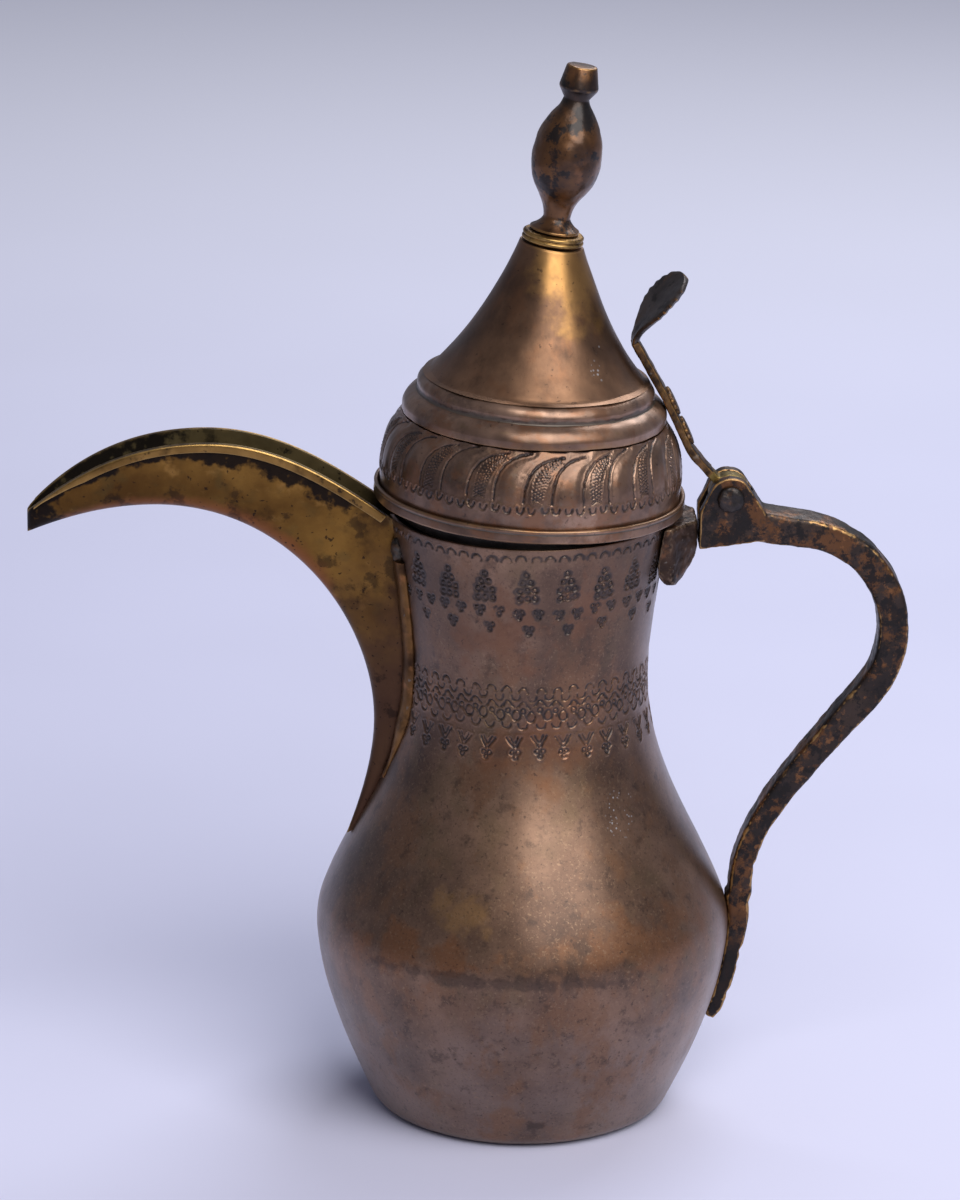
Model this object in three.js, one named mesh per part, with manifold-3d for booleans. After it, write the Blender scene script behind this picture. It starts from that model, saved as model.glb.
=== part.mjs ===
// A hinged-lid brass coffee pot of the long-beaked kind.
// The body is three raised pieces, the spout an open beak of bent sheet, the handle one S-shaped
// casting with a forked end, and the stepped conical lid swings on a pin in that fork.
// Millimetres, +Z up. The origin is the centre of the base; the spout points to -X, the handle to +X.

import * as THREE from 'three';
import { mergeVertices } from 'three/addons/utils/BufferGeometryUtils.js';
import Module from 'manifold-3d';

const wasm = await Module();
wasm.setup();

// Driving dimensions: fits

const SEAT_GAP = 0.3;

// Driving dimensions: body

const BASE_RADIUS = 44.2;
const BASE_CORNER = 4.4;
const BASE_THICKNESS = 1.6;
const FOOT_LIFT = 0.2;
const BOWL_FULL_RADIUS = 62;
const BOWL_FULL_HEIGHT = 38;
const SEAM_RADIUS = 62.3;
const SEAM_HEIGHT = 60;
const SEAM_LAP = 5;
const SHOULDER_DRAW_IN = 5.8;
const SHOULDER_RISE = 22;
const WAIST_RADIUS = 35.9;
const WAIST_HEIGHT = 137;
const WAIST_EASE = 32;
const NECK_EASE_OUT = 1.1;
const NECK_EASE_UP = 18;
const RIM_RADIUS = 41.6;
const RIM_HEIGHT = 185.5;
const BODY_WALL = 1.4;
const LAP_WALL = 1.1;

// Driving dimensions: spout

const SPOUT_REACH = 147.4;
const SPOUT_WIDTH = 16.4;
const SPOUT_WALL = 1.2;
const SPOUT_CREST_REACH = 95;
const SPOUT_CREST_RISE = 22.2;
const SPOUT_TIP_DROP = 0.3;
const SPOUT_TIP_DEPTH = 6.8;
const SPOUT_TIP_WIDTH = 1.8;
const SPOUT_THROAT_REACH = 110;
const SPOUT_THROAT_RISE = 1.5;
const SPOUT_STANDOFF = 9.3;
const SPOUT_KNEE_DROP = 17;
const SPOUT_TAIL_HEIGHT = 84;
const SPOUT_TAIL_PROUD = 0.9;
const SPOUT_SLOT_WIDTH = 11;
const SPOUT_SLOT_DEPTH = 36;
const LIP_HEIGHT = 2.7;
const LIP_THICKNESS = 0.8;
const BEAD_RADIUS = 1.9;
const BEAD_DROP = 82;
const BEAD_TOP_DROP = 13;
const SOLDER_RADIUS = 1.7;
const SOLDER_LENGTH = 6.4;

// Driving dimensions: hinge

const PIN_STANDOFF = 17.3;
const PIN_RISE = 4.9;
const PIN_RADIUS = 2.2;
const PIN_HEAD_RADIUS = 4.1;
const PIN_HEAD_HEIGHT = 1.7;
const KNUCKLE_RADIUS = 6.3;
const KNUCKLE_WIDTH = 5;
const CHEEK_THICKNESS = 4.2;
const CHEEK_RADIUS = 6.6;

// Driving dimensions: handle and saddle

const HANDLE_REACH = 113.4;
const HANDLE_BOW_RADIUS = 31.2;
const HANDLE_BOW_DROP = 41.9;
const HANDLE_THICKNESS = 9.4;
const HANDLE_THICKNESS_LOWER = 7.4;
const HANDLE_THICKNESS_TAIL = 4.2;
const HANDLE_WIDTH = 10;
const HANDLE_WIDTH_LOWER = 8.8;
const HANDLE_CHAMFER = 1.3;
const HANDLE_TAIL_HEIGHT = 25;
const HANDLE_LANDING_RISE = 5;
const HANDLE_LANDING_OUT = 0.8;
const BAR_DROP = 8.4;
const FORK_BOTTOM_DROP = 15.6;
const FORK_LENGTH = 10.5;
const SADDLE_STANDOFF = 7.9;
const SADDLE_WIDTH = 32;
const SADDLE_END_THICKNESS = 2.6;
const SADDLE_TOP_DROP = 1.2;
const SADDLE_BRIDGE_HEIGHT = 10.4;
const SADDLE_LOBE_HEIGHT = 18.6;

// Driving dimensions: lid

const LID_LEAN = THREE.MathUtils.degToRad(2.6);
const LID_LIFT = 0.4;
const LID_OVERHANG = 4.35;
const LID_WALL = 1.2;
const BAND_HEIGHT = 4.3;
const BAND_FLOOR = 1.3;
const BAND_EDGE = 0.9;
const BULGE_INSET = 1.3;
const BULGE_HEIGHT = 9.5;
const STEP_LOWER_RADIUS = 39;
const STEP_LOWER_HEIGHT = 26;
const STEP_UPPER_RADIUS = 35;
const STEP_UPPER_HEIGHT = 32.7;
const STEP_RISER = 2.2;
const CONE_FOOT_RADIUS = 31.6;
const CONE_FOOT_HEIGHT = 38.1;
const CONE_TOP_RADIUS = 9.6;
const CONE_TOP_HEIGHT = 78;
const CONE_HOLLOW = 5;
const CONE_BEND = THREE.MathUtils.degToRad(5.9);
const CONE_DRIFT = 2;
const SLEEVE_CLEARANCE = 2;
const SLEEVE_DEPTH = 5;
const SLEEVE_FLANGE = 2.4;

// Driving dimensions: strap and thumb tab

const STRAP_THICKNESS = 2.6;
const STRAP_WIDTH = 10;
const STRAP_LEG_ANGLE = THREE.MathUtils.degToRad(134);
const STRAP_LEG_START = 9;
const STRAP_LEG_LENGTH = 18;
const STRAP_STANDOFF = 0.8;
const STRAP_TOP_HEIGHT = 49.5;
const LEAF_LENGTH = 9;
const LEAF_WIDTH = 9.4;
const LEAF_THICKNESS = 0.6;
const TAB_RISE = 20;
const TAB_LEAN_OUT = 13.6;
const TAB_WIDTH = 20;
const TAB_ROOT_WIDTH = 7;
const TAB_THICKNESS = 2.2;
const TAB_ROOT_BEND = 2.5;
const TAB_TWIST = THREE.MathUtils.degToRad(12);

// Driving dimensions: finial

const COLLAR_RADIUS = 9.05;
const COLLAR_HEIGHT = 3.1;
const TANG_RADIUS = 2;
const FINIAL_FOOT_RADIUS = 7.4;
const FINIAL_FOOT_EDGE = 0.9;
const FINIAL_FLARE = 3.3;
const FINIAL_LOWER_NECK = 4.1;
const FINIAL_BELLY_RADIUS = 10.3;
const FINIAL_BELLY_LOWER = 17.5;
const FINIAL_BELLY_UPPER = 18.1;
const FINIAL_UPPER_NECK = 3.9;
const FINIAL_HEAD_RADIUS = 6;
const FINIAL_HEAD_UNDER = 3.1;
const FINIAL_HEAD_OVER = 6.8;
const FINIAL_TOP_RADIUS = 4.5;
const ROVE_RADIUS = 5;
const ROVE_THICKNESS = 1.2;
const PEEN_RADIUS = 3.3;
const PEEN_HEIGHT = 1.4;

// Facets

const BODY_FACETS = 48;
const LID_FACETS = 40;
const FINIAL_FACETS = 24;
const PIN_FACETS = 16;

// Worked-out places that several pieces share

const PIN_REACH = RIM_RADIUS + PIN_STANDOFF;
const PIN_HEIGHT = RIM_HEIGHT + PIN_RISE;
const LID_SEAT = RIM_HEIGHT + LID_LIFT;
const LID_BAND_RADIUS = RIM_RADIUS + LID_OVERHANG;
const BULGE_RADIUS = LID_BAND_RADIUS - BULGE_INSET;
const FORK_WIDTH = KNUCKLE_WIDTH + 2 * SEAT_GAP + 2 * CHEEK_THICKNESS;
const SADDLE_FACE = RIM_RADIUS + SADDLE_STANDOFF;
const LID_PIN = new THREE.Vector2(PIN_REACH, PIN_HEIGHT - LID_SEAT);

// Finishes

const metal = (color, roughness) => new THREE.MeshStandardMaterial({ color, roughness, metalness: 1 });
const agedBrass = metal(0x6b4a34, 0.38);
const goldenBrass = metal(0x8a6530, 0.36);
const blackenedIron = metal(0x2c2622, 0.5);
const tinnedGrey = metal(0x77716a, 0.5);
const solderGrey = metal(0x5d5a58, 0.6);

// Geometry helpers

const point = (x, y) => new THREE.Vector2(x, y);
const mix = THREE.MathUtils.lerp;

/** Volume enclosed by an indexed mesh, negative when its faces point inwards. */
function signedVolume(position, index) {
  const [a, b, c] = [new THREE.Vector3(), new THREE.Vector3(), new THREE.Vector3()];
  let volume = 0;
  for (let i = 0; i < index.length; i += 3) {
    a.fromBufferAttribute(position, index[i]);
    b.fromBufferAttribute(position, index[i + 1]);
    c.fromBufferAttribute(position, index[i + 2]);
    volume += a.dot(b.cross(c)) / 6;
  }
  return volume;
}

/** Merges shared vertices, drops collapsed triangles and turns the faces outwards. */
function closed(geometry) {
  geometry.deleteAttribute('normal');
  geometry.deleteAttribute('uv');
  const merged = mergeVertices(geometry, 1e-4);
  const all = merged.index.array;
  const kept = [];
  for (let i = 0; i < all.length; i += 3) {
    const [a, b, c] = [all[i], all[i + 1], all[i + 2]];
    if (a !== b && b !== c && c !== a) kept.push(a, b, c);
  }
  if (signedVolume(merged.attributes.position, kept) < 0) kept.reverse();
  merged.setIndex(kept);
  return merged;
}

/** The manifold solid of a closed geometry. */
function solidOf(geometry) {
  const vertProperties = new Float32Array(geometry.attributes.position.array);
  const triVerts = new Uint32Array(geometry.index.array);
  return new wasm.Manifold(new wasm.Mesh({ numProp: 3, vertProperties, triVerts }));
}

/** The geometry of a manifold solid. */
function geometryOf(solid) {
  const { vertProperties, triVerts } = solid.getMesh();
  const geometry = new THREE.BufferGeometry();
  geometry.setAttribute('position', new THREE.BufferAttribute(vertProperties, 3));
  geometry.setIndex(Array.from(triVerts));
  return geometry;
}

const cut = (geometry, ...tools) =>
  geometryOf(tools.reduce((solid, tool) => solid.subtract(solidOf(tool)), solidOf(geometry)));

const join = (geometry, ...others) =>
  geometryOf(others.reduce((solid, other) => solid.add(solidOf(other)), solidOf(geometry)));

const common = (geometry, other) => geometryOf(solidOf(geometry).intersect(solidOf(other)));

/** A solid of revolution about Z from (radius, height) points. */
function revolve(outline, facets) {
  const geometry = new THREE.LatheGeometry(outline, facets);
  geometry.rotateX(Math.PI / 2);
  return closed(geometry);
}

/** An outline shifted towards the axis by a wall's thickness. */
function insetOutline(outline, distance) {
  return outline.map((here, i) => {
    const before = outline[Math.max(i - 1, 0)];
    const after = outline[Math.min(i + 1, outline.length - 1)];
    const along = after.clone().sub(before).normalize();
    return point(here.x - along.y * distance, here.y + along.x * distance);
  });
}

const ring = (outline) => [...outline, outline[0].clone()];

/** The plainer inside of a shell: inset by the wall and kept between the levels of its two ends. */
function insideOf(outline, wall) {
  const last = outline.length - 1;
  const inset = insetOutline(outline, wall).filter((_, i) => i % 2 === 0 || i === last);
  return inset.map(({ x, y }) => point(x, THREE.MathUtils.clamp(y, outline[0].y, outline[last].y)));
}

/** A revolved shell between an outer and an inner outline. */
const revolvedShell = (outside, inside, facets) => revolve(ring([...outside, ...inside.toReversed()]), facets);

/** A plate whose outline lies in the XZ plane, centred on Y. */
function plate(shape, width, bevel = 0) {
  const geometry = new THREE.ExtrudeGeometry(shape, {
    depth: width - 2 * bevel,
    bevelEnabled: bevel > 0,
    bevelThickness: bevel,
    bevelSize: bevel,
    bevelOffset: -bevel,
    bevelSegments: 1,
    curveSegments: 14,
  });
  geometry.rotateX(Math.PI / 2);
  geometry.translate(0, width / 2 - bevel, 0);
  return closed(geometry);
}

/** A loft through equal rings of points, with ladder caps that join each point to its opposite one. */
function loft(rings) {
  const count = rings[0].length;
  const index = [];
  const quad = (a, b, c, d) => index.push(a, b, c, a, c, d);
  for (let i = 0; i + 1 < rings.length; i += 1) {
    for (let k = 0; k < count; k += 1) {
      const next = (k + 1) % count;
      quad(i * count + k, i * count + next, (i + 1) * count + next, (i + 1) * count + k);
    }
  }
  const last = (rings.length - 1) * count;
  for (let k = 0; k < count / 2 - 1; k += 1) {
    const opposite = count - 1 - k;
    quad(opposite, opposite - 1, k + 1, k);
    quad(last + k, last + k + 1, last + opposite - 1, last + opposite);
  }
  const geometry = new THREE.BufferGeometry().setFromPoints(rings.flat());
  geometry.setIndex(index);
  return closed(geometry);
}

/** A value read off hand-set stops of [place, value], eased linearly between them. */
function along(stops, place) {
  const next = stops.findIndex(([at]) => at >= place);
  if (next === 0) return stops[0][1];
  if (next < 0) return stops[stops.length - 1][1];
  const [[from, start], [to, end]] = [stops[next - 1], stops[next]];
  return mix(start, end, (place - from) / (to - from));
}

// Body of the pot

/** Outer outline of the lower bowl, from the foot's edge up to the shoulder seam. */
function bowlOutline() {
  const path = new THREE.Path();
  const cornerHeight = FOOT_LIFT + BASE_CORNER;
  path.moveTo(BASE_RADIUS - BASE_CORNER, FOOT_LIFT);
  path.quadraticCurveTo(BASE_RADIUS, FOOT_LIFT, BASE_RADIUS + 0.4 * BASE_CORNER, cornerHeight);
  path.quadraticCurveTo(BOWL_FULL_RADIUS, BOWL_FULL_HEIGHT, SEAM_RADIUS, SEAM_HEIGHT - SEAT_GAP);
  return path.getPoints(5);
}

/** Outer outline of the upper body, from the shoulder seam over the waist to the rim. */
function upperOutline() {
  const path = new THREE.Path();
  path.moveTo(SEAM_RADIUS, SEAM_HEIGHT);
  path.bezierCurveTo(
    SEAM_RADIUS - SHOULDER_DRAW_IN, SEAM_HEIGHT + SHOULDER_RISE,
    WAIST_RADIUS, WAIST_HEIGHT - WAIST_EASE,
    WAIST_RADIUS, WAIST_HEIGHT,
  );
  path.quadraticCurveTo(WAIST_RADIUS + NECK_EASE_OUT, WAIST_HEIGHT + NECK_EASE_UP, RIM_RADIUS, RIM_HEIGHT);
  return path.getPoints(6);
}

const BOWL_OUTLINE = bowlOutline();
const UPPER_OUTLINE = upperOutline();
const UPPER_INSIDE = insideOf(UPPER_OUTLINE, BODY_WALL);
const BODY_OUTLINE = [...BOWL_OUTLINE, ...UPPER_OUTLINE];

/** Radius of an outline at a height. */
const radiusAt = (outline, height) => along(outline.map(({ x, y }) => [y, x]), height);

/** Outer radius of the body at a height. */
const bodyRadius = (height) => radiusAt(BODY_OUTLINE, height);

/** An outer form grown by the seat gap and filled in: the tool that seats pieces against it. */
function seatingPlug(outline, facets) {
  const grown = insetOutline(outline, -SEAT_GAP);
  return revolve([point(0, grown[0].y), ...grown, point(0, grown[grown.length - 1].y)], facets);
}

const BODY_PLUG = seatingPlug(BODY_OUTLINE, BODY_FACETS);

function baseDisc() {
  const radius = BASE_RADIUS - BASE_CORNER - SEAT_GAP;
  const outline = [point(0, 0), point(radius, 0), point(radius, BASE_THICKNESS), point(0, BASE_THICKNESS)];
  return revolve(outline, BODY_FACETS);
}

/** The bowl, with a lip at its top that laps inside the upper body. */
function lowerBowl() {
  const root = SEAM_HEIGHT - SEAT_GAP;
  const top = SEAM_HEIGHT + SEAM_LAP;
  const rootRadius = radiusAt(UPPER_INSIDE, SEAM_HEIGHT + BODY_WALL) - 1.5 * SEAT_GAP;
  const topRadius = radiusAt(UPPER_INSIDE, top) - 1.5 * SEAT_GAP;
  const lip = [point(rootRadius, root), point(topRadius, top)];
  const lipInside = [point(rootRadius - LAP_WALL, root), point(topRadius - LAP_WALL, top)];
  const inside = insideOf(BOWL_OUTLINE, BODY_WALL).slice(0, -1);
  return revolvedShell([...BOWL_OUTLINE, ...lip], [...inside, ...lipInside], BODY_FACETS);
}

/** Shoulder, waist and neck, with the tall slot that lets the pot pour into the spout. */
function upperBody() {
  const slot = new THREE.BoxGeometry(RIM_RADIUS, SPOUT_SLOT_WIDTH, 2 * SPOUT_SLOT_DEPTH);
  slot.translate(-RIM_RADIUS, 0, RIM_HEIGHT);
  return cut(revolvedShell(UPPER_OUTLINE, UPPER_INSIDE, BODY_FACETS), closed(slot));
}

// Spout

const SPOUT_NECK_STEPS = 8;
const SPOUT_FREE_STEPS = 14;
const SPOUT_SIDE_STEPS = 9;
const SPOUT_SQUARENESS = 0.82;

/** The free upper edge of the beak, from the rim over the crest to the tip. */
function spoutEdge() {
  const crest = RIM_HEIGHT + SPOUT_CREST_RISE;
  const tip = RIM_HEIGHT - SPOUT_TIP_DROP;
  const rise = SPOUT_CREST_REACH - RIM_RADIUS;
  const fall = SPOUT_REACH - SPOUT_CREST_REACH;
  const path = new THREE.Path();
  path.moveTo(-RIM_RADIUS, RIM_HEIGHT);
  path.bezierCurveTo(
    -RIM_RADIUS - 0.35 * rise, mix(RIM_HEIGHT, crest, 0.6),
    -SPOUT_CREST_REACH + 0.36 * rise, crest,
    -SPOUT_CREST_REACH, crest,
  );
  path.bezierCurveTo(
    -SPOUT_CREST_REACH - 0.42 * fall, crest,
    -SPOUT_REACH + 0.26 * fall, mix(tip, crest, 0.6),
    -SPOUT_REACH, tip,
  );
  return path;
}

/** The keel line under the beak, from its tail on the shoulder to the tip. */
function spoutKeel() {
  const knee = point(-WAIST_RADIUS - SPOUT_STANDOFF, WAIST_HEIGHT - SPOUT_KNEE_DROP);
  const tail = point(-bodyRadius(SPOUT_TAIL_HEIGHT) - SPOUT_TAIL_PROUD, SPOUT_TAIL_HEIGHT);
  const throat = point(-SPOUT_THROAT_REACH, RIM_HEIGHT + SPOUT_THROAT_RISE);
  const tip = point(-SPOUT_REACH, RIM_HEIGHT - SPOUT_TIP_DROP - SPOUT_TIP_DEPTH);
  const lift = throat.y - knee.y;
  const reach = knee.x - throat.x;
  const path = new THREE.Path();
  path.moveTo(tail.x, tail.y);
  path.bezierCurveTo(mix(tail.x, knee.x, 0.55), mix(tail.y, knee.y, 0.33), knee.x, mix(tail.y, knee.y, 0.67), knee.x, knee.y);
  path.bezierCurveTo(knee.x, knee.y + 0.45 * lift, throat.x + 0.62 * reach, throat.y, throat.x, throat.y);
  path.bezierCurveTo(mix(throat.x, tip.x, 0.38), throat.y, mix(throat.x, tip.x, 0.72), mix(throat.y, tip.y, 0.44), tip.x, tip.y);
  return path;
}

const SPOUT_EDGE = spoutEdge();
const SPOUT_KEEL = spoutKeel();

/** Half the spout's width at a share of its length: a pointed tail, straight sides and a prow. */
function spoutHalfWidth(share) {
  const tail = Math.min(share / 0.36, 1);
  const prow = Math.max((share - 0.76) / 0.24, 0);
  const full = SPOUT_WIDTH / 2;
  const narrow = SPOUT_TIP_WIDTH / 2;
  const tapered = mix(narrow, full, Math.sin((tail * Math.PI) / 2));
  return mix(narrow, tapered, Math.sqrt(1 - prow ** 2.4));
}

/** The spout's stations: its edge point, keel point and half width from the tail to the tip. */
function spoutStations() {
  const stations = [];
  const total = SPOUT_NECK_STEPS + SPOUT_FREE_STEPS;
  for (let i = 0; i <= total; i += 1) {
    const share = i / total;
    const climb = i / SPOUT_NECK_STEPS;
    const height = mix(SPOUT_TAIL_HEIGHT + 2, RIM_HEIGHT, climb);
    const onNeck = point(SPOUT_WALL - bodyRadius(height), height);
    const edge = i < SPOUT_NECK_STEPS ? onNeck : SPOUT_EDGE.getPoint((i - SPOUT_NECK_STEPS) / SPOUT_FREE_STEPS);
    const keelShare = i < SPOUT_NECK_STEPS ? 0.47 * climb : mix(0.47, 1, (i - SPOUT_NECK_STEPS) / SPOUT_FREE_STEPS);
    stations.push({ edge, keel: SPOUT_KEEL.getPoint(keelShare), halfWidth: spoutHalfWidth(share) });
  }
  return stations;
}

const SPOUT_STATIONS = spoutStations();

/** A U-shaped row of points across the spout, inset by the wall for its inside. */
function spoutRow({ edge, keel, halfWidth }, inset) {
  const depth = keel.distanceTo(edge);
  const half = halfWidth - Math.min(inset, 0.6 * halfWidth);
  const sunk = depth - Math.min(inset, 0.6 * depth);
  const down = keel.clone().sub(edge).normalize();
  const row = [];
  for (let k = 0; k <= SPOUT_SIDE_STEPS; k += 1) {
    const turn = (k / SPOUT_SIDE_STEPS) * Math.PI;
    const across = -Math.sign(Math.cos(turn)) * half * Math.abs(Math.cos(turn)) ** SPOUT_SQUARENESS;
    const drop = sunk * Math.sin(turn) ** SPOUT_SQUARENESS;
    row.push(new THREE.Vector3(edge.x + down.x * drop, across, edge.y + down.y * drop));
  }
  return row;
}

/** The bent sheet of the beak, seated against the body. */
function spoutTrough() {
  const rings = SPOUT_STATIONS.map((station) => [...spoutRow(station, 0), ...spoutRow(station, SPOUT_WALL).reverse()]);
  return cut(loft(rings), BODY_PLUG);
}

/** The stiffening strip along one free edge of the beak. */
function spoutLip(side) {
  const free = SPOUT_STATIONS.slice(SPOUT_NECK_STEPS);
  const rings = free.slice(0, -1).map(({ edge, keel, halfWidth }, i) => {
    const down = keel.clone().sub(edge).normalize();
    const next = free[i + 1];
    const taper = (halfWidth - next.halfWidth) / edge.distanceTo(next.edge);
    const stretch = Math.hypot(1, taper);
    const inner = side * (halfWidth + SEAT_GAP * stretch);
    const outer = side * (halfWidth + (SEAT_GAP + LIP_THICKNESS) * stretch);
    const low = edge.clone().addScaledVector(down, LIP_HEIGHT);
    return [
      new THREE.Vector3(edge.x, inner, edge.y),
      new THREE.Vector3(edge.x, outer, edge.y),
      new THREE.Vector3(low.x, outer, low.y),
      new THREE.Vector3(low.x, inner, low.y),
    ];
  });
  return loft(rings);
}

/** The half-round bead that covers the joint between the beak's wall and the neck. */
function spoutRootBead(side) {
  const steps = 9;
  const sides = 8;
  const rings = [];
  for (let i = 0; i <= steps; i += 1) {
    const height = mix(RIM_HEIGHT - BEAD_DROP, RIM_HEIGHT - BEAD_TOP_DROP, i / steps);
    const share = ((height - SPOUT_TAIL_HEIGHT) / (RIM_HEIGHT - SPOUT_TAIL_HEIGHT)) * SPOUT_NECK_STEPS;
    const halfWidth = spoutHalfWidth(share / (SPOUT_NECK_STEPS + SPOUT_FREE_STEPS));
    const across = side * (halfWidth + 1.5 * SEAT_GAP + BEAD_RADIUS);
    const centre = -Math.sqrt(bodyRadius(height) ** 2 - across ** 2);
    const corners = [];
    for (let k = 0; k < sides; k += 1) {
      const turn = (k / sides) * 2 * Math.PI;
      corners.push(new THREE.Vector3(centre + BEAD_RADIUS * Math.cos(turn), across + BEAD_RADIUS * Math.sin(turn), height));
    }
    rings.push(corners);
  }
  return cut(loft(rings), BODY_PLUG);
}

/** The lump of solder at the top of a root bead. */
function spoutCornerSolder(side) {
  const height = RIM_HEIGHT - BEAD_TOP_DROP + SEAT_GAP + SOLDER_LENGTH / 2;
  const across = side * (SPOUT_WIDTH / 2 + 1.5 * SEAT_GAP + SOLDER_RADIUS);
  const lump = new THREE.SphereGeometry(1, 10, 6);
  lump.scale(SOLDER_RADIUS, SOLDER_RADIUS, SOLDER_LENGTH / 2);
  lump.translate(-Math.sqrt(bodyRadius(height) ** 2 - across ** 2), across, height);
  return cut(closed(lump), BODY_PLUG);
}

// Handle, saddle and hinge pin

/** Centre line of the handle in (x, z): out of the fork, round the bow, down the S and along the bowl. */
function handleLine() {
  const bowCentre = point(HANDLE_REACH - HANDLE_THICKNESS / 2 - HANDLE_BOW_RADIUS, PIN_HEIGHT - HANDLE_BOW_DROP);
  const enter = THREE.MathUtils.degToRad(86);
  const leave = THREE.MathUtils.degToRad(-40);
  const onBow = (angle) => point(Math.cos(angle), Math.sin(angle)).multiplyScalar(HANDLE_BOW_RADIUS).add(bowCentre);
  const heading = point(Math.sin(leave), -Math.cos(leave));
  const bowStart = onBow(enter);
  const bowEnd = onBow(leave);
  const onBody = (height) => point(bodyRadius(height) + HANDLE_THICKNESS_TAIL / 2, height);
  const landing = onBody(SEAM_HEIGHT).add(point(HANDLE_LANDING_OUT, HANDLE_LANDING_RISE));
  const drop = bowEnd.y - landing.y;
  const swing = bowEnd.clone().addScaledVector(heading, 0.72 * drop);
  const path = new THREE.Path();
  path.moveTo(PIN_REACH + KNUCKLE_RADIUS, PIN_HEIGHT - BAR_DROP);
  path.lineTo(bowStart.x, bowStart.y);
  path.absarc(bowCentre.x, bowCentre.y, HANDLE_BOW_RADIUS, enter, leave, true);
  path.bezierCurveTo(swing.x, swing.y, landing.x + 0.4, landing.y + 0.3 * drop, landing.x, landing.y);
  const tail = [0.35, 0.7, 1].map((share) => onBody(mix(SEAM_HEIGHT, HANDLE_TAIL_HEIGHT, share)));
  path.splineThru(tail);
  return path;
}

/** A bar along the handle's line, thick and wide at the bow, thinning to a flat tail. */
function handleBar() {
  const steps = 38;
  const line = handleLine().getSpacedPoints(steps);
  const thickness = [
    [0, HANDLE_THICKNESS + 1], [0.12, HANDLE_THICKNESS], [0.42, HANDLE_THICKNESS],
    [0.66, HANDLE_THICKNESS_LOWER], [0.8, HANDLE_THICKNESS_LOWER], [0.88, HANDLE_THICKNESS_TAIL + 1],
    [0.97, HANDLE_THICKNESS_TAIL], [1, 0.5 * HANDLE_THICKNESS_TAIL],
  ];
  const width = [
    [0, FORK_WIDTH - 1], [0.1, HANDLE_WIDTH], [0.45, HANDLE_WIDTH], [0.8, HANDLE_WIDTH_LOWER],
    [0.94, HANDLE_WIDTH_LOWER], [1, 0.5 * HANDLE_WIDTH_LOWER],
  ];
  const rings = line.map((centre, i) => {
    const ahead = line[Math.min(i + 1, steps)].clone().sub(line[Math.max(i - 1, 0)]).normalize();
    const out = point(-ahead.y, ahead.x);
    const half = along(thickness, i / steps) / 2;
    const side = along(width, i / steps) / 2;
    const chamfer = Math.min(HANDLE_CHAMFER, 0.5 * half);
    const corners = [
      [side, half - chamfer], [side - chamfer, half], [chamfer - side, half], [-side, half - chamfer],
      [-side, chamfer - half], [chamfer - side, -half], [side - chamfer, -half], [side, chamfer - half],
    ];
    return corners.map(([y, n]) => new THREE.Vector3(centre.x + out.x * n, y, centre.y + out.y * n));
  });
  return loft(rings);
}

/** Side outline of the fork: round cheeks about the pin, a foot against the saddle, a root in the bar. */
function forkShape() {
  const front = SADDLE_FACE + SEAT_GAP;
  const root = PIN_REACH + FORK_LENGTH;
  const shape = new THREE.Shape();
  shape.moveTo(front, PIN_HEIGHT - FORK_BOTTOM_DROP);
  shape.lineTo(root, PIN_HEIGHT - BAR_DROP - HANDLE_THICKNESS / 2);
  shape.lineTo(root, PIN_HEIGHT - BAR_DROP + 0.45 * HANDLE_THICKNESS);
  shape.absarc(PIN_REACH, PIN_HEIGHT, CHEEK_RADIUS, THREE.MathUtils.degToRad(43), THREE.MathUtils.degToRad(160), false);
  shape.lineTo(front, PIN_HEIGHT - 4);
  return shape;
}

/** A bar across Y, round the pin's axis. */
function crossBar(radius, length) {
  const bar = new THREE.CylinderGeometry(radius, radius, length, PIN_FACETS);
  bar.translate(PIN_REACH, 0, PIN_HEIGHT);
  return closed(bar);
}

/** The whole handle casting: bar, forked cheeks, pin holes, and a tail seated on the bowl. */
function handleCasting() {
  const slotWidth = KNUCKLE_WIDTH + 2 * SEAT_GAP;
  const room = KNUCKLE_RADIUS + 2 * SEAT_GAP;
  const slot = new THREE.BoxGeometry(4 * room, slotWidth, 4 * room);
  slot.translate(PIN_REACH - room, 0, PIN_HEIGHT + room);
  const fork = plate(forkShape(), FORK_WIDTH, 0.7);
  const whole = join(handleBar(), fork);
  return cut(whole, closed(slot), crossBar(PIN_RADIUS + SEAT_GAP, 2 * FORK_WIDTH), BODY_PLUG);
}

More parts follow.
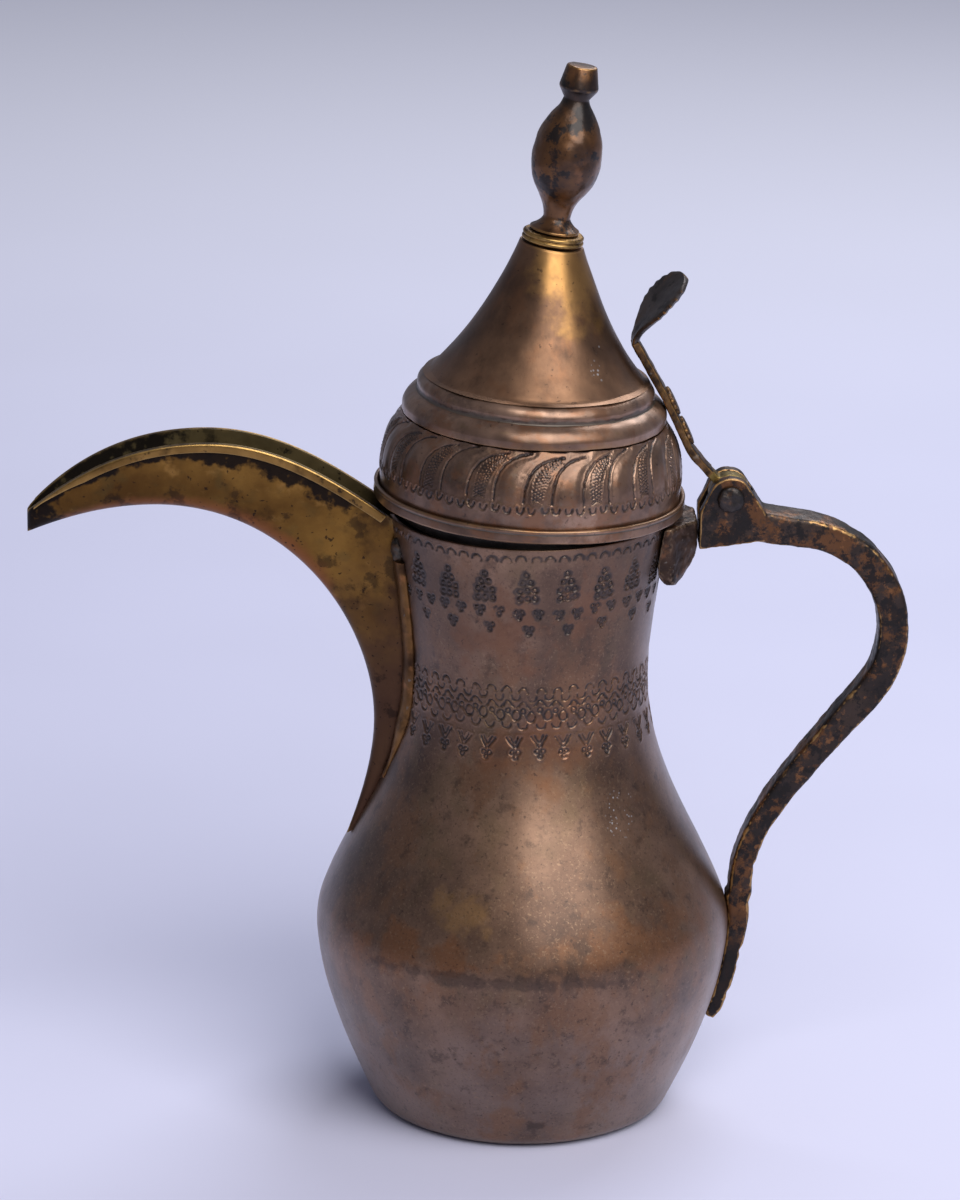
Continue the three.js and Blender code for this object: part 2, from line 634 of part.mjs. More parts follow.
/** The saddle that carries the fork: thick behind it, thin at its two ends, with a lobe on each side. */
function handleSaddle() {
  const half = SADDLE_WIDTH / 2;
  const top = RIM_HEIGHT - SADDLE_TOP_DROP;
  const bridge = top - SADDLE_BRIDGE_HEIGHT;
  const lobe = top - SADDLE_LOBE_HEIGHT;
  const endReach = Math.sqrt(RIM_RADIUS ** 2 - half ** 2) + SADDLE_END_THICKNESS;
  const plan = new THREE.Shape();
  plan.moveTo(0.6 * RIM_RADIUS, -half);
  plan.lineTo(endReach, -half);
  plan.lineTo(SADDLE_FACE, -FORK_WIDTH / 2);
  plan.lineTo(SADDLE_FACE, FORK_WIDTH / 2);
  plan.lineTo(endReach, half);
  plan.lineTo(0.6 * RIM_RADIUS, half);
  const block = new THREE.ExtrudeGeometry(plan, { depth: SADDLE_LOBE_HEIGHT + 2, bevelEnabled: false });
  block.translate(0, 0, lobe - 2);
  const front = new THREE.Shape();
  front.moveTo(-half - 1, top);
  front.lineTo(-half - 1, bridge);
  front.quadraticCurveTo(-half, lobe, -0.8 * half, lobe);
  front.quadraticCurveTo(-0.6 * half, lobe, -0.44 * half, bridge);
  front.lineTo(0.44 * half, bridge);
  front.quadraticCurveTo(0.6 * half, lobe, 0.8 * half, lobe);
  front.quadraticCurveTo(half, lobe, half + 1, bridge);
  front.lineTo(half + 1, top);
  const shield = new THREE.ExtrudeGeometry(front, { depth: SADDLE_FACE + 1, bevelEnabled: false, curveSegments: 6 });
  shield.rotateX(Math.PI / 2);
  shield.rotateZ(Math.PI / 2);
  return cut(common(closed(block), closed(shield)), BODY_PLUG);
}

/** The riveted pin: a shank across the fork with a hammered dome at each end. */
function hingePin() {
  const face = FORK_WIDTH / 2 + SEAT_GAP;
  const end = face + PIN_HEAD_HEIGHT;
  const upper = [
    point(PIN_RADIUS, face), point(PIN_HEAD_RADIUS, face), point(PIN_HEAD_RADIUS, face + 0.35 * PIN_HEAD_HEIGHT),
    point(0.7 * PIN_HEAD_RADIUS, face + 0.85 * PIN_HEAD_HEIGHT), point(0, end),
  ];
  const lower = upper.map(({ x, y }) => point(x, -y)).reverse();
  const pin = new THREE.LatheGeometry([...lower, ...upper], PIN_FACETS);
  pin.translate(PIN_REACH, 0, PIN_HEIGHT);
  return closed(pin);
}

// Lid, in its own frame: radius from the pot's axis, height from the plane where it would close

function lidBand() {
  const bore = RIM_RADIUS - BODY_WALL - SLEEVE_CLEARANCE + SEAT_GAP;
  return revolve(ring([
    point(bore, 0), point(LID_BAND_RADIUS - 0.4, 0), point(LID_BAND_RADIUS, 0.4),
    point(LID_BAND_RADIUS, BAND_HEIGHT - 0.3), point(LID_BAND_RADIUS - 0.3, BAND_HEIGHT),
    point(LID_BAND_RADIUS - BAND_EDGE, BAND_HEIGHT), point(LID_BAND_RADIUS - BAND_EDGE, BAND_FLOOR), point(bore, BAND_FLOOR),
  ]), LID_FACETS);
}

/** The sleeve under the lid that drops into the neck. */
function lidSleeve() {
  const outer = RIM_RADIUS - BODY_WALL - SLEEVE_CLEARANCE;
  const inner = outer - LID_WALL;
  const seat = BAND_FLOOR + SEAT_GAP;
  return revolve(ring([
    point(inner, -SLEEVE_DEPTH), point(outer, -SLEEVE_DEPTH), point(outer, seat), point(outer + SLEEVE_FLANGE, seat),
    point(outer + SLEEVE_FLANGE, seat + LID_WALL), point(inner, seat + LID_WALL),
  ]), LID_FACETS);
}

const DOME_FOOT_RADIUS = LID_BAND_RADIUS - BAND_EDGE - 2.5 * SEAT_GAP;
const DOME_LEDGE_HEIGHT = CONE_FOOT_HEIGHT - SEAT_GAP;
const DOME_LEDGE_WIDTH = 3;

/** Outer outline of the bulge and the two rounded steps above it, up to the ledge under the cone. */
function domeOutline() {
  const path = new THREE.Path();
  path.moveTo(DOME_FOOT_RADIUS, BAND_FLOOR + SEAT_GAP);
  path.lineTo(DOME_FOOT_RADIUS, BAND_HEIGHT);
  path.quadraticCurveTo(BULGE_RADIUS, mix(BAND_HEIGHT, BULGE_HEIGHT, 0.6), BULGE_RADIUS, BULGE_HEIGHT);
  path.quadraticCurveTo(BULGE_RADIUS, mix(BULGE_HEIGHT, STEP_LOWER_HEIGHT, 0.56), STEP_LOWER_RADIUS, STEP_LOWER_HEIGHT);
  path.lineTo(STEP_LOWER_RADIUS, STEP_LOWER_HEIGHT + STEP_RISER);
  path.quadraticCurveTo(
    STEP_LOWER_RADIUS - 0.4, mix(STEP_LOWER_HEIGHT, STEP_UPPER_HEIGHT, 0.75), STEP_UPPER_RADIUS, STEP_UPPER_HEIGHT,
  );
  path.lineTo(STEP_UPPER_RADIUS, STEP_UPPER_HEIGHT + STEP_RISER);
  path.quadraticCurveTo(
    STEP_UPPER_RADIUS - 0.4, DOME_LEDGE_HEIGHT - 0.3, CONE_FOOT_RADIUS + 0.8, DOME_LEDGE_HEIGHT,
  );
  path.lineTo(CONE_FOOT_RADIUS - DOME_LEDGE_WIDTH, DOME_LEDGE_HEIGHT);
  return path.getPoints(3);
}

const DOME_OUTLINE = domeOutline();

function lidDome() {
  const inside = insetOutline([
    point(DOME_FOOT_RADIUS, BAND_FLOOR + SEAT_GAP), point(BULGE_RADIUS, BULGE_HEIGHT),
    point(STEP_LOWER_RADIUS, STEP_LOWER_HEIGHT), point(STEP_UPPER_RADIUS, STEP_UPPER_HEIGHT),
    point(CONE_FOOT_RADIUS, DOME_LEDGE_HEIGHT), point(CONE_FOOT_RADIUS - DOME_LEDGE_WIDTH, DOME_LEDGE_HEIGHT),
  ], LID_WALL);
  return revolvedShell(DOME_OUTLINE, inside, LID_FACETS);
}

/** Outer outline of the cone, full at its foot and drawn in towards the top. */
function coneOutline() {
  const path = new THREE.Path();
  path.moveTo(CONE_FOOT_RADIUS, CONE_FOOT_HEIGHT);
  path.quadraticCurveTo(
    mix(CONE_FOOT_RADIUS, CONE_TOP_RADIUS, 0.5) - CONE_HOLLOW / 2,
    mix(CONE_FOOT_HEIGHT, CONE_TOP_HEIGHT, 0.5) - CONE_HOLLOW,
    CONE_TOP_RADIUS, CONE_TOP_HEIGHT,
  );
  return path.getPoints(6);
}

const CONE_OUTLINE = coneOutline();

/** Where the knocked-over cone carries a point: each level turns a little further towards the handle. */
function bent(here) {
  const height = CONE_TOP_HEIGHT - CONE_FOOT_HEIGHT;
  const share = (here.z - CONE_FOOT_HEIGHT) / height;
  const turn = CONE_BEND * share;
  const drift = CONE_DRIFT * Math.sin((share * Math.PI) / 2);
  return new THREE.Vector3(drift + here.x * Math.cos(turn), here.y, here.z - here.x * Math.sin(turn));
}

/** The cone, with a top plate bored for the finial's tang. */
function lidCone() {
  const bore = TANG_RADIUS + SEAT_GAP;
  const inside = insideOf(CONE_OUTLINE, LID_WALL).slice(0, -1);
  const roof = CONE_TOP_HEIGHT - LID_WALL;
  const outline = [
    ...CONE_OUTLINE, point(bore, CONE_TOP_HEIGHT), point(bore, roof), point(CONE_TOP_RADIUS - LID_WALL, roof), ...inside.reverse(),
  ];
  const geometry = revolve(ring(outline), LID_FACETS);
  const position = geometry.attributes.position;
  for (let i = 0; i < position.count; i += 1) {
    const moved = bent(new THREE.Vector3().fromBufferAttribute(position, i));
    position.setXYZ(i, moved.x, moved.y, moved.z);
  }
  return geometry;
}

// Strap, knuckle and thumb tab

/** Centre line of the strap in the lid's frame, from beside the knuckle up to the thumb tab. */
function strapLine() {
  const leg = point(Math.cos(STRAP_LEG_ANGLE), Math.sin(STRAP_LEG_ANGLE));
  const clear = STRAP_STANDOFF + STRAP_THICKNESS / 2;
  const coneRadius = radiusAt(CONE_OUTLINE, STRAP_TOP_HEIGHT);
  return [
    LID_PIN.clone().addScaledVector(leg, STRAP_LEG_START),
    LID_PIN.clone().addScaledVector(leg, STRAP_LEG_LENGTH),
    point(STEP_LOWER_RADIUS + clear, STEP_LOWER_HEIGHT + 1.6),
    point(STEP_UPPER_RADIUS + clear, STEP_UPPER_HEIGHT + 2.3),
    point(coneRadius + CONE_DRIFT / 2 + clear, STRAP_TOP_HEIGHT),
  ];
}

const STRAP_LINE = strapLine();

/** The flat bar from the knuckle over the lid's steps to the tab. */
function lidStrap() {
  const outer = insetOutline(STRAP_LINE, -STRAP_THICKNESS / 2);
  const inner = insetOutline(STRAP_LINE, STRAP_THICKNESS / 2);
  const bar = plate(new THREE.Shape([...outer, ...inner.reverse()]), STRAP_WIDTH, 0.5);
  return cut(bar, seatingPlug(DOME_OUTLINE, LID_FACETS));
}

/** The eye round the pin, with the short tongue that the strap is joined to. */
function hingeKnuckle() {
  const half = STRAP_THICKNESS / 2;
  const reach = STRAP_LEG_START - SEAT_GAP;
  const spread = Math.asin(half / KNUCKLE_RADIUS);
  const corner = (angle, across) => point(
    LID_PIN.x + reach * Math.cos(angle) - across * Math.sin(angle),
    LID_PIN.y + reach * Math.sin(angle) + across * Math.cos(angle),
  );
  const shape = new THREE.Shape();
  const first = corner(STRAP_LEG_ANGLE, half);
  const second = corner(STRAP_LEG_ANGLE, -half);
  shape.moveTo(second.x, second.y);
  shape.lineTo(first.x, first.y);
  shape.absarc(LID_PIN.x, LID_PIN.y, KNUCKLE_RADIUS, STRAP_LEG_ANGLE + spread, STRAP_LEG_ANGLE + 2 * Math.PI - spread, false);
  const bore = new THREE.Path();
  bore.absarc(LID_PIN.x, LID_PIN.y, PIN_RADIUS + SEAT_GAP, 0, 2 * Math.PI, true);
  shape.holes.push(bore);
  return plate(shape, KNUCKLE_WIDTH);
}

/** A lobed leaf that lies on the strap's outer face, over one of its straight lengths. */
function strapLeaf(from, to) {
  const lobes = 3;
  const steps = 24;
  const outline = [];
  for (let i = 0; i < steps; i += 1) {
    const turn = (i / steps) * 2 * Math.PI;
    const swell = 1 - 0.09 * Math.cos(2 * lobes * turn) ** 2;
    outline.push(point((LEAF_LENGTH / 2) * swell * Math.cos(turn), (LEAF_WIDTH / 2) * swell * Math.sin(turn)));
  }
  const leaf = new THREE.ExtrudeGeometry(new THREE.Shape(outline), {
    depth: 0.5 * LEAF_THICKNESS,
    bevelThickness: 0.5 * LEAF_THICKNESS,
    bevelSize: 0.8,
    bevelOffset: -0.8,
    bevelSegments: 1,
  });
  leaf.translate(0, 0, STRAP_THICKNESS / 2 + SEAT_GAP + 0.5 * LEAF_THICKNESS);
  const run = to.clone().sub(from).normalize();
  const middle = from.clone().lerp(to, 0.5);
  const lengthways = new THREE.Vector3(run.x, 0, run.y);
  const outward = new THREE.Vector3(run.y, 0, -run.x);
  const place = new THREE.Matrix4().makeBasis(lengthways, new THREE.Vector3().crossVectors(outward, lengthways), outward);
  place.setPosition(middle.x, 0, middle.y);
  leaf.applyMatrix4(place);
  return closed(leaf);
}

/** The spoon-shaped thumb tab on the strap's upper end, twisted towards -Y. */
function thumbTab() {
  const [below, top] = STRAP_LINE.slice(-2);
  const run = top.clone().sub(below).normalize();
  const start = top.clone().addScaledVector(run, SEAT_GAP);
  const line = new THREE.CubicBezierCurve(
    start,
    start.clone().addScaledVector(run, TAB_ROOT_BEND),
    point(start.x + 0.52 * TAB_LEAN_OUT, start.y + 0.64 * TAB_RISE),
    point(start.x + TAB_LEAN_OUT, start.y + TAB_RISE),
  );
  const steps = 12;
  const rings = [];
  for (let i = 0; i <= steps; i += 1) {
    const share = i / steps;
    const centre = line.getPoint(share);
    const ahead = line.getTangent(share);
    const out = point(ahead.y, -ahead.x);
    const swell = THREE.MathUtils.smoothstep(share, 0, 0.6);
    const round = Math.sqrt(1 - (Math.max(share - 0.6, 0) / 0.42) ** 2.2);
    const half = (mix(TAB_ROOT_WIDTH, TAB_WIDTH, swell) / 2) * round;
    const thick = TAB_THICKNESS / 2;
    const dish = 0.12 * half;
    const corners = [
      [-half, thick - dish], [0, thick], [half, thick - dish], [half, -thick - dish], [0, -thick], [-half, -thick - dish],
    ];
    const twist = TAB_TWIST * THREE.MathUtils.smoothstep(share, 0, 0.5);
    rings.push(corners.map(([y, n]) => {
      const across = y * Math.cos(twist) + n * Math.sin(twist);
      const proud = n * Math.cos(twist) - y * Math.sin(twist);
      return new THREE.Vector3(centre.x + out.x * proud, across, centre.y + out.y * proud);
    }));
  }
  return loft(rings);
}

// Finial, in the frame of the cone's top

function finialCollar() {
  const bore = TANG_RADIUS + SEAT_GAP;
  const [low, high] = [SEAT_GAP, SEAT_GAP + COLLAR_HEIGHT];
  return revolve(ring([
    point(bore, low), point(COLLAR_RADIUS - 0.5, low), point(COLLAR_RADIUS, low + 0.6),
    point(COLLAR_RADIUS, high - 0.7), point(COLLAR_RADIUS - 0.7, high), point(bore, high),
  ]), FINIAL_FACETS);
}

/** The turned knob: peened tang, foot, flare, belly, neck and double-coned head. */
function finialKnob() {
  const foot = 2 * SEAT_GAP + COLLAR_HEIGHT;
  const lowerNeck = foot + FINIAL_FOOT_EDGE + FINIAL_FLARE;
  const belly = lowerNeck + FINIAL_BELLY_LOWER;
  const upperNeck = belly + FINIAL_BELLY_UPPER;
  const head = upperNeck + FINIAL_HEAD_UNDER;
  const top = head + FINIAL_HEAD_OVER;
  const peen = -LID_WALL - ROVE_THICKNESS - 2 * SEAT_GAP;
  const path = new THREE.Path();
  path.moveTo(0, peen - PEEN_HEIGHT);
  path.lineTo(0.6 * PEEN_RADIUS, peen - PEEN_HEIGHT);
  path.lineTo(PEEN_RADIUS, peen - 0.3 * PEEN_HEIGHT);
  path.lineTo(PEEN_RADIUS, peen - SEAT_GAP);
  path.lineTo(TANG_RADIUS, peen - SEAT_GAP);
  path.lineTo(TANG_RADIUS, foot);
  path.lineTo(FINIAL_FOOT_RADIUS, foot);
  path.lineTo(FINIAL_FOOT_RADIUS, foot + FINIAL_FOOT_EDGE);
  path.quadraticCurveTo(FINIAL_LOWER_NECK + 0.6, lowerNeck - 1.4, FINIAL_LOWER_NECK, lowerNeck);
  path.bezierCurveTo(
    FINIAL_LOWER_NECK + 0.4, mix(lowerNeck, belly, 0.4), FINIAL_BELLY_RADIUS, mix(lowerNeck, belly, 0.45),
    FINIAL_BELLY_RADIUS, belly,
  );
  path.bezierCurveTo(
    FINIAL_BELLY_RADIUS, mix(belly, upperNeck, 0.6), FINIAL_UPPER_NECK + 1, mix(belly, upperNeck, 0.75),
    FINIAL_UPPER_NECK, upperNeck,
  );
  path.lineTo(FINIAL_HEAD_RADIUS, head);
  path.lineTo(FINIAL_TOP_RADIUS, top);
  path.lineTo(0, top);
  return revolve(path.getPoints(5), FINIAL_FACETS);
}

/** The washer inside the cone that the tang is hammered over. */
function finialRove() {
  const bore = TANG_RADIUS + SEAT_GAP;
  const high = -LID_WALL - SEAT_GAP;
  const low = high - ROVE_THICKNESS;
  return revolve(ring([point(bore, low), point(ROVE_RADIUS, low), point(ROVE_RADIUS, high), point(bore, high)]), FINIAL_FACETS);
}

// Assembly

/** A named sub-part. */
function piece(name, geometry, material) {
  const mesh = new THREE.Mesh(geometry, material);
  mesh.name = name;
  return mesh;
}

const pot = new THREE.Group();
pot.add(
  piece('base_disc', baseDisc(), agedBrass),
  piece('lower_bowl', lowerBowl(), agedBrass),
  piece('upper_body', upperBody(), agedBrass),
  piece('spout_trough', spoutTrough(), goldenBrass),
  piece('handle_casting', handleCasting(), blackenedIron),
  piece('handle_saddle', handleSaddle(), tinnedGrey),
  piece('hinge_pin', hingePin(), blackenedIron),
);
for (const [label, side] of [['near', -1], ['far', 1]]) {
  pot.add(
    piece(`spout_lip_${label}`, spoutLip(side), goldenBrass),
    piece(`spout_root_bead_${label}`, spoutRootBead(side), goldenBrass),
    piece(`spout_corner_solder_${label}`, spoutCornerSolder(side), solderGrey),
  );
}

// The finial stands square on the top of the bent cone.
const finial = new THREE.Group();
const coneTop = bent(new THREE.Vector3(0, 0, CONE_TOP_HEIGHT));
finial.position.copy(coneTop);
finial.rotation.y = CONE_BEND;
finial.add(
  piece('finial_collar', finialCollar(), goldenBrass),
  piece('finial_knob', finialKnob(), agedBrass),
  piece('finial_rove', finialRove(), tinnedGrey),
);

const lidParts = new THREE.Group();
lidParts.position.set(-PIN_REACH, 0, LID_SEAT - PIN_HEIGHT);
lidParts.add(
  piece('lid_band', lidBand(), agedBrass),
  piece('lid_sleeve', lidSleeve(), tinnedGrey),
  piece('lid_dome', lidDome(), agedBrass),
  piece('lid_cone', lidCone(), agedBrass),
  piece('lid_strap', lidStrap(), goldenBrass),
  piece('hinge_knuckle', hingeKnuckle(), goldenBrass),
  piece('strap_leaf_lower', strapLeaf(STRAP_LINE[1], STRAP_LINE[2]), goldenBrass),
  piece('strap_leaf_upper', strapLeaf(STRAP_LINE[2], STRAP_LINE[3]), goldenBrass),
  piece('thumb_tab', thumbTab(), blackenedIron),
  finial,
);

// The lid turns about the pin and stands a little open.
const lid = new THREE.Group();
lid.position.set(PIN_REACH, 0, PIN_HEIGHT);
lid.rotation.y = LID_LEAN;
lid.add(lidParts);

const coffeePot = new THREE.Group();
coffeePot.add(pot, lid);

export default coffeePot;
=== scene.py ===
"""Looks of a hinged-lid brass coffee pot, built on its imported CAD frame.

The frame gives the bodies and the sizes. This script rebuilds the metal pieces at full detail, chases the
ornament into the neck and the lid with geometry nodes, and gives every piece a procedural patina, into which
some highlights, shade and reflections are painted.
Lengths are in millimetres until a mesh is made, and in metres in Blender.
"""

import logging
import math
from dataclasses import dataclass, field
from enum import Enum
from typing import Callable, ClassVar, Sequence

import bpy
import numpy as np
from mathutils import Matrix, Vector


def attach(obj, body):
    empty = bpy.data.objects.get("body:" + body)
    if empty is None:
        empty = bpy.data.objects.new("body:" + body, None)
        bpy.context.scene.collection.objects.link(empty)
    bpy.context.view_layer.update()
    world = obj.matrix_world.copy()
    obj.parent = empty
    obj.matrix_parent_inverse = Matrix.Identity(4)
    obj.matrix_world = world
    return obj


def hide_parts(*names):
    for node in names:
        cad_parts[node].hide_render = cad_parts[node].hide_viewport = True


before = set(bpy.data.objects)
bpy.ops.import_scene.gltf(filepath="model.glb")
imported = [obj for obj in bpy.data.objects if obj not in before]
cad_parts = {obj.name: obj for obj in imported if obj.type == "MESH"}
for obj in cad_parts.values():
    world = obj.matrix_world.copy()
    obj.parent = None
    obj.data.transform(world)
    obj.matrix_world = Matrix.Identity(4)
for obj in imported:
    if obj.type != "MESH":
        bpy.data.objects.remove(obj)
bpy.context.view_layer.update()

LOG = logging.getLogger("coffee_pot")
MM = 0.001
FAR_AWAY = -1000.0
ON_AXIS = 1e-6
MARK_TWIST = 0.09

Colour = tuple[float, float, float]
Points = np.ndarray
Socket = bpy.types.NodeSocket


class Body(Enum):
    """The two rigid bodies of the frame."""

    POT = "pot"
    LID = "lid"


class Slot(Enum):
    """The record's material slots."""

    AGED = "aged_brass"
    GOLDEN = "golden_brass"
    BLACKENED = "blackened_brass"
    GREY = "grey_metal"


# Lines


def bezier(*controls: Sequence[float], steps: int = 40) -> Points:
    """A Bezier curve of any degree.

    Args:
        controls: The curve's control points.
        steps: How many steps it is drawn in.

    Returns:
        The points along it, both ends included.
    """
    share = np.linspace(0, 1, steps + 1)[:, None]
    layer = [np.asarray(control, float) + 0 * share for control in controls]
    while len(layer) > 1:
        layer = [(1 - share) * a + share * b for a, b in zip(layer, layer[1:])]
    return layer[0]


def joined(*runs: Points) -> Points:
    """One line from several, each of which starts where the last one ended."""
    return np.concatenate([runs[0], *(run[1:] for run in runs[1:])])


def rounded(corners: Sequence[Sequence[float]], radius: float, steps: int = 5) -> Points:
    """A line of straight runs with its inner corners eased.

    Args:
        corners: The line's corners.
        radius: How far before and after a corner the easing starts.
        steps: How many steps each eased corner has.

    Returns:
        The points of the eased line.
    """
    line = np.asarray(corners, float)
    runs = [line[:1]]
    for before, corner, after in zip(line, line[1:], line[2:]):
        back, ahead = before - corner, after - corner
        reach = min(radius, 0.45 * np.linalg.norm(back), 0.45 * np.linalg.norm(ahead))
        start = corner + back / np.linalg.norm(back) * reach
        end = corner + ahead / np.linalg.norm(ahead) * reach
        runs.append(bezier(start, corner, end, steps=steps))
    return np.concatenate([*runs, line[-1:]])


def eased(line: Points, corner: Sequence[float], reach: float) -> Points:
    """A dense line whose one soft corner is replaced by a curve that starts and ends a reach away from it."""
    away = np.linalg.norm(line - np.asarray(corner, float), axis=1)
    near = np.nonzero(away < reach)[0]
    first, last = near[0] - 1, near[-1] + 1
    curve = bezier(line[first], corner, line[last], steps=16)
    return np.concatenate([line[:first], curve, line[last + 1 :]])


def unit(turn: np.ndarray) -> Points:
    """Points of a circle of radius 1 at angles."""
    return np.stack([np.cos(turn), np.sin(turn)], axis=-1)


def around(count: int, start: float = 0.0) -> np.ndarray:
    """Even angles once round from a start."""
    return start + np.linspace(0, 2 * math.pi, count, endpoint=False)


class Track:
    """A line that is read by its share of length."""

    def __init__(self, points: Points) -> None:
        """Measures the line."""
        self.points = np.asarray(points, float)
        steps = np.linalg.norm(np.diff(self.points, axis=0), axis=1)
        self.reach = np.concatenate([[0.0], np.cumsum(steps)])
        self.length = float(self.reach[-1])

    def at(self, shares: np.ndarray) -> Points:
        """The points at shares of the length."""
        where = np.clip(np.asarray(shares, float), 0, 1) * self.length
        return np.stack([np.interp(where, self.reach, column) for column in self.points.T], axis=-1)

    def heading(self, shares: np.ndarray) -> Points:
        """Unit directions of the line at shares of the length."""
        shares = np.asarray(shares, float)
        run = self.at(shares + 0.004) - self.at(shares - 0.004)
        return run / np.linalg.norm(run, axis=-1, keepdims=True)


def stops(pairs: Sequence[tuple[float, float]], places: np.ndarray) -> np.ndarray:
    """Values read off given stops of (place, value)."""
    return np.interp(places, [place for place, _ in pairs], [value for _, value in pairs])


# Shapes


def linked(name: str, data: bpy.types.ID) -> bpy.types.Object:
    """A new object in the scene."""
    obj = bpy.data.objects.new(name, data)
    bpy.context.scene.collection.objects.link(obj)
    return obj


def keep_value(mesh: bpy.types.Mesh, name: str, values: np.ndarray) -> None:
    """Keeps a value for each point of a mesh."""
    stored = mesh.attributes.new(name, "FLOAT", "POINT")
    stored.data.foreach_set("value", values.astype(np.float32))


@dataclass
class Shape:
    """A mesh in millimetres.

    Attributes:
        points: Its points.
        faces: Its faces as point numbers.
        unrolled: Where each point lies when its surface is rolled out flat, for chasing ornament.
        outward: The way that dents push each point, where it isn't the mesh's own normal.
    """

    points: Points
    faces: list[tuple[int, ...]]
    unrolled: Points | None = None
    outward: Points | None = None

    def moved(self, move: Callable[[Points], Points]) -> "Shape":
        """The same shape with its points moved."""
        return Shape(move(self.points), self.faces, self.unrolled, self.outward)

    def volume(self) -> float:
        """The enclosed volume, negative when the faces point inwards."""
        corners = [(face[0], face[i], face[i + 1]) for face in self.faces for i in range(1, len(face) - 1)]
        a, b, c = self.points[np.asarray(corners)].transpose(1, 0, 2)
        return float(np.einsum("ij,ij->", a, np.cross(b, c)) / 6)

    def made(self, name: str) -> bpy.types.Object:
        """A Blender object of this shape, in metres, smooth and with its faces turned outwards."""
        faces = self.faces if self.volume() > 0 else [face[::-1] for face in self.faces]
        mesh = bpy.data.meshes.new(name)
        mesh.from_pydata((self.points * MM).tolist(), [], faces)
        for label, values in (("unrolled", self.unrolled), ("outward", self.outward)):
            if values is not None:
                stored = mesh.attributes.new(label, "FLOAT_VECTOR", "POINT")
                stored.data.foreach_set("vector", (values * MM).astype(np.float32).ravel())
        mesh.shade_smooth()
        return linked(name, mesh)


def bridged(levels: Sequence[Points], ring: bool = False) -> Shape:
    """A skin between levels of points, each of which goes once round or is a single pole.

    Args:
        levels: The points of each level.
        ring: Whether the last level joins the first, as for a shell.

    Returns:
        The skinned shape.
    """
    rows: list[list[int]] = []
    total = 0
    for level in levels:
        rows.append(list(range(total, total + len(level))))
        total += len(level)
    columns = max(len(row) for row in rows)
    faces: list[tuple[int, ...]] = []
    for low, high in zip(rows, rows[1:] + rows[:1] if ring else rows[1:]):
        for column in range(columns):
            after = (column + 1) % columns
            if len(low) == 1:
                faces.append((low[0], high[after], high[column]))
            elif len(high) == 1:
                faces.append((low[column], low[after], high[0]))
            else:
                faces.append((low[column], low[after], high[after], high[column]))
    return Shape(np.concatenate(levels), faces)


def revolved(outline: Points, columns: int, seam: float = -math.pi, ring: bool = True) -> Shape:
    """Turns an outline of (radius, height) points about Z.

    Args:
        outline: The outline; a point on the axis becomes one pole.
        columns: How many columns go round.
        seam: The angle of the first column.
        ring: Whether the outline's end joins its start, as for a shell.

    Returns:
        The turned shape.
    """
    levels = []
    for radius, height in outline:
        turn = np.zeros(1) if radius < ON_AXIS else around(columns, seam)
        levels.append(np.column_stack([radius * unit(turn), np.full(len(turn), height)]))
    return bridged(levels, ring)


def lofted(rings: Points) -> Shape:
    """A closed skin through equal rings, with caps that join each point to its opposite one.

    Args:
        rings: Points of shape (rings, points in a ring, 3).

    Returns:
        The skinned shape.
    """
    amount, count = rings.shape[:2]
    faces: list[tuple[int, ...]] = []
    for i in range(amount - 1):
        low, high = i * count, (i + 1) * count
        for k in range(count):
            after = (k + 1) % count
            faces.append((low + k, low + after, high + after, high + k))
    last = (amount - 1) * count
    for k in range(count // 2 - 1):
        other = count - 1 - k
        faces.append((other, other - 1, k + 1, k))
        faces.append((last + k, last + k + 1, last + other - 1, last + other))
    return Shape(rings.reshape(-1, 3), faces)


def section(half_width: np.ndarray, half_height: np.ndarray, count: int, square: float = 5.0) -> Points:
    """Rounded oblong rings: (across, up) points for each pair of half sizes.

    Args:
        half_width: Half of each ring's width.
        half_height: Half of each ring's height.
        count: How many points a ring has.
        square: How square the corners are, where 2 is an ellipse.

    Returns:
        Points of shape (rings, count, 2).
    """
    turn = (np.arange(count) + 0.5) / count * 2 * math.pi
    across = np.sign(np.cos(turn)) * np.abs(np.cos(turn)) ** (2 / square)
    up = np.sign(np.sin(turn)) * np.abs(np.sin(turn)) ** (2 / square)
    return np.stack([np.outer(half_width, across), np.outer(half_height, up)], axis=-1)


def hung(line: Points, out: Points, rise: Points, across: Points) -> Points:
    """Rows of points on a line in the XZ plane.

    Args:
        line: The (x, z) point that each row hangs on.
        out: The (x, z) direction in which it rises.
        rise: How far each of its points rises.
        across: How far each of its points lies along Y.

    Returns:
        Points of shape (rows, points in a row, 3).
    """
    points = np.empty((*across.shape, 3))
    points[..., 0] = line[:, None, 0] + out[:, None, 0] * rise
    points[..., 1] = across
    points[..., 2] = line[:, None, 1] + out[:, None, 1] * rise
    return points


def swept(line: Points, out: Points, rings: Points) -> Shape:
    """A bar along a line in the XZ plane, through rings of (across, up) points."""
    return lofted(hung(line, out, rings[..., 1], rings[..., 0]))


def extruded(outline: Points, width: float) -> Shape:
    """A straight plate whose outline lies in the XZ plane, centred on Y."""
    count = len(outline)
    near = np.stack([outline[:, 0], np.full(count, -width / 2), outline[:, 1]], axis=-1)
    far = near + [0, width, 0]
    faces: list[tuple[int, ...]] = []
    for k in range(count):
        after = (k + 1) % count
        faces.append((k, after, count + after, count + k))
    faces += [tuple(reversed(range(count))), tuple(range(count, 2 * count))]
    return Shape(np.concatenate([near, far]), faces)


def turned_about_y(points: Points, angle: float) -> Points:
    """Points turned about the Y axis, a positive angle tipping +Z towards +X."""
    x, y, z = points.T
    cosine, sine = math.cos(angle), math.sin(angle)
    return np.stack([x * cosine + z * sine, y, z * cosine - x * sine], axis=-1)


# Node trees


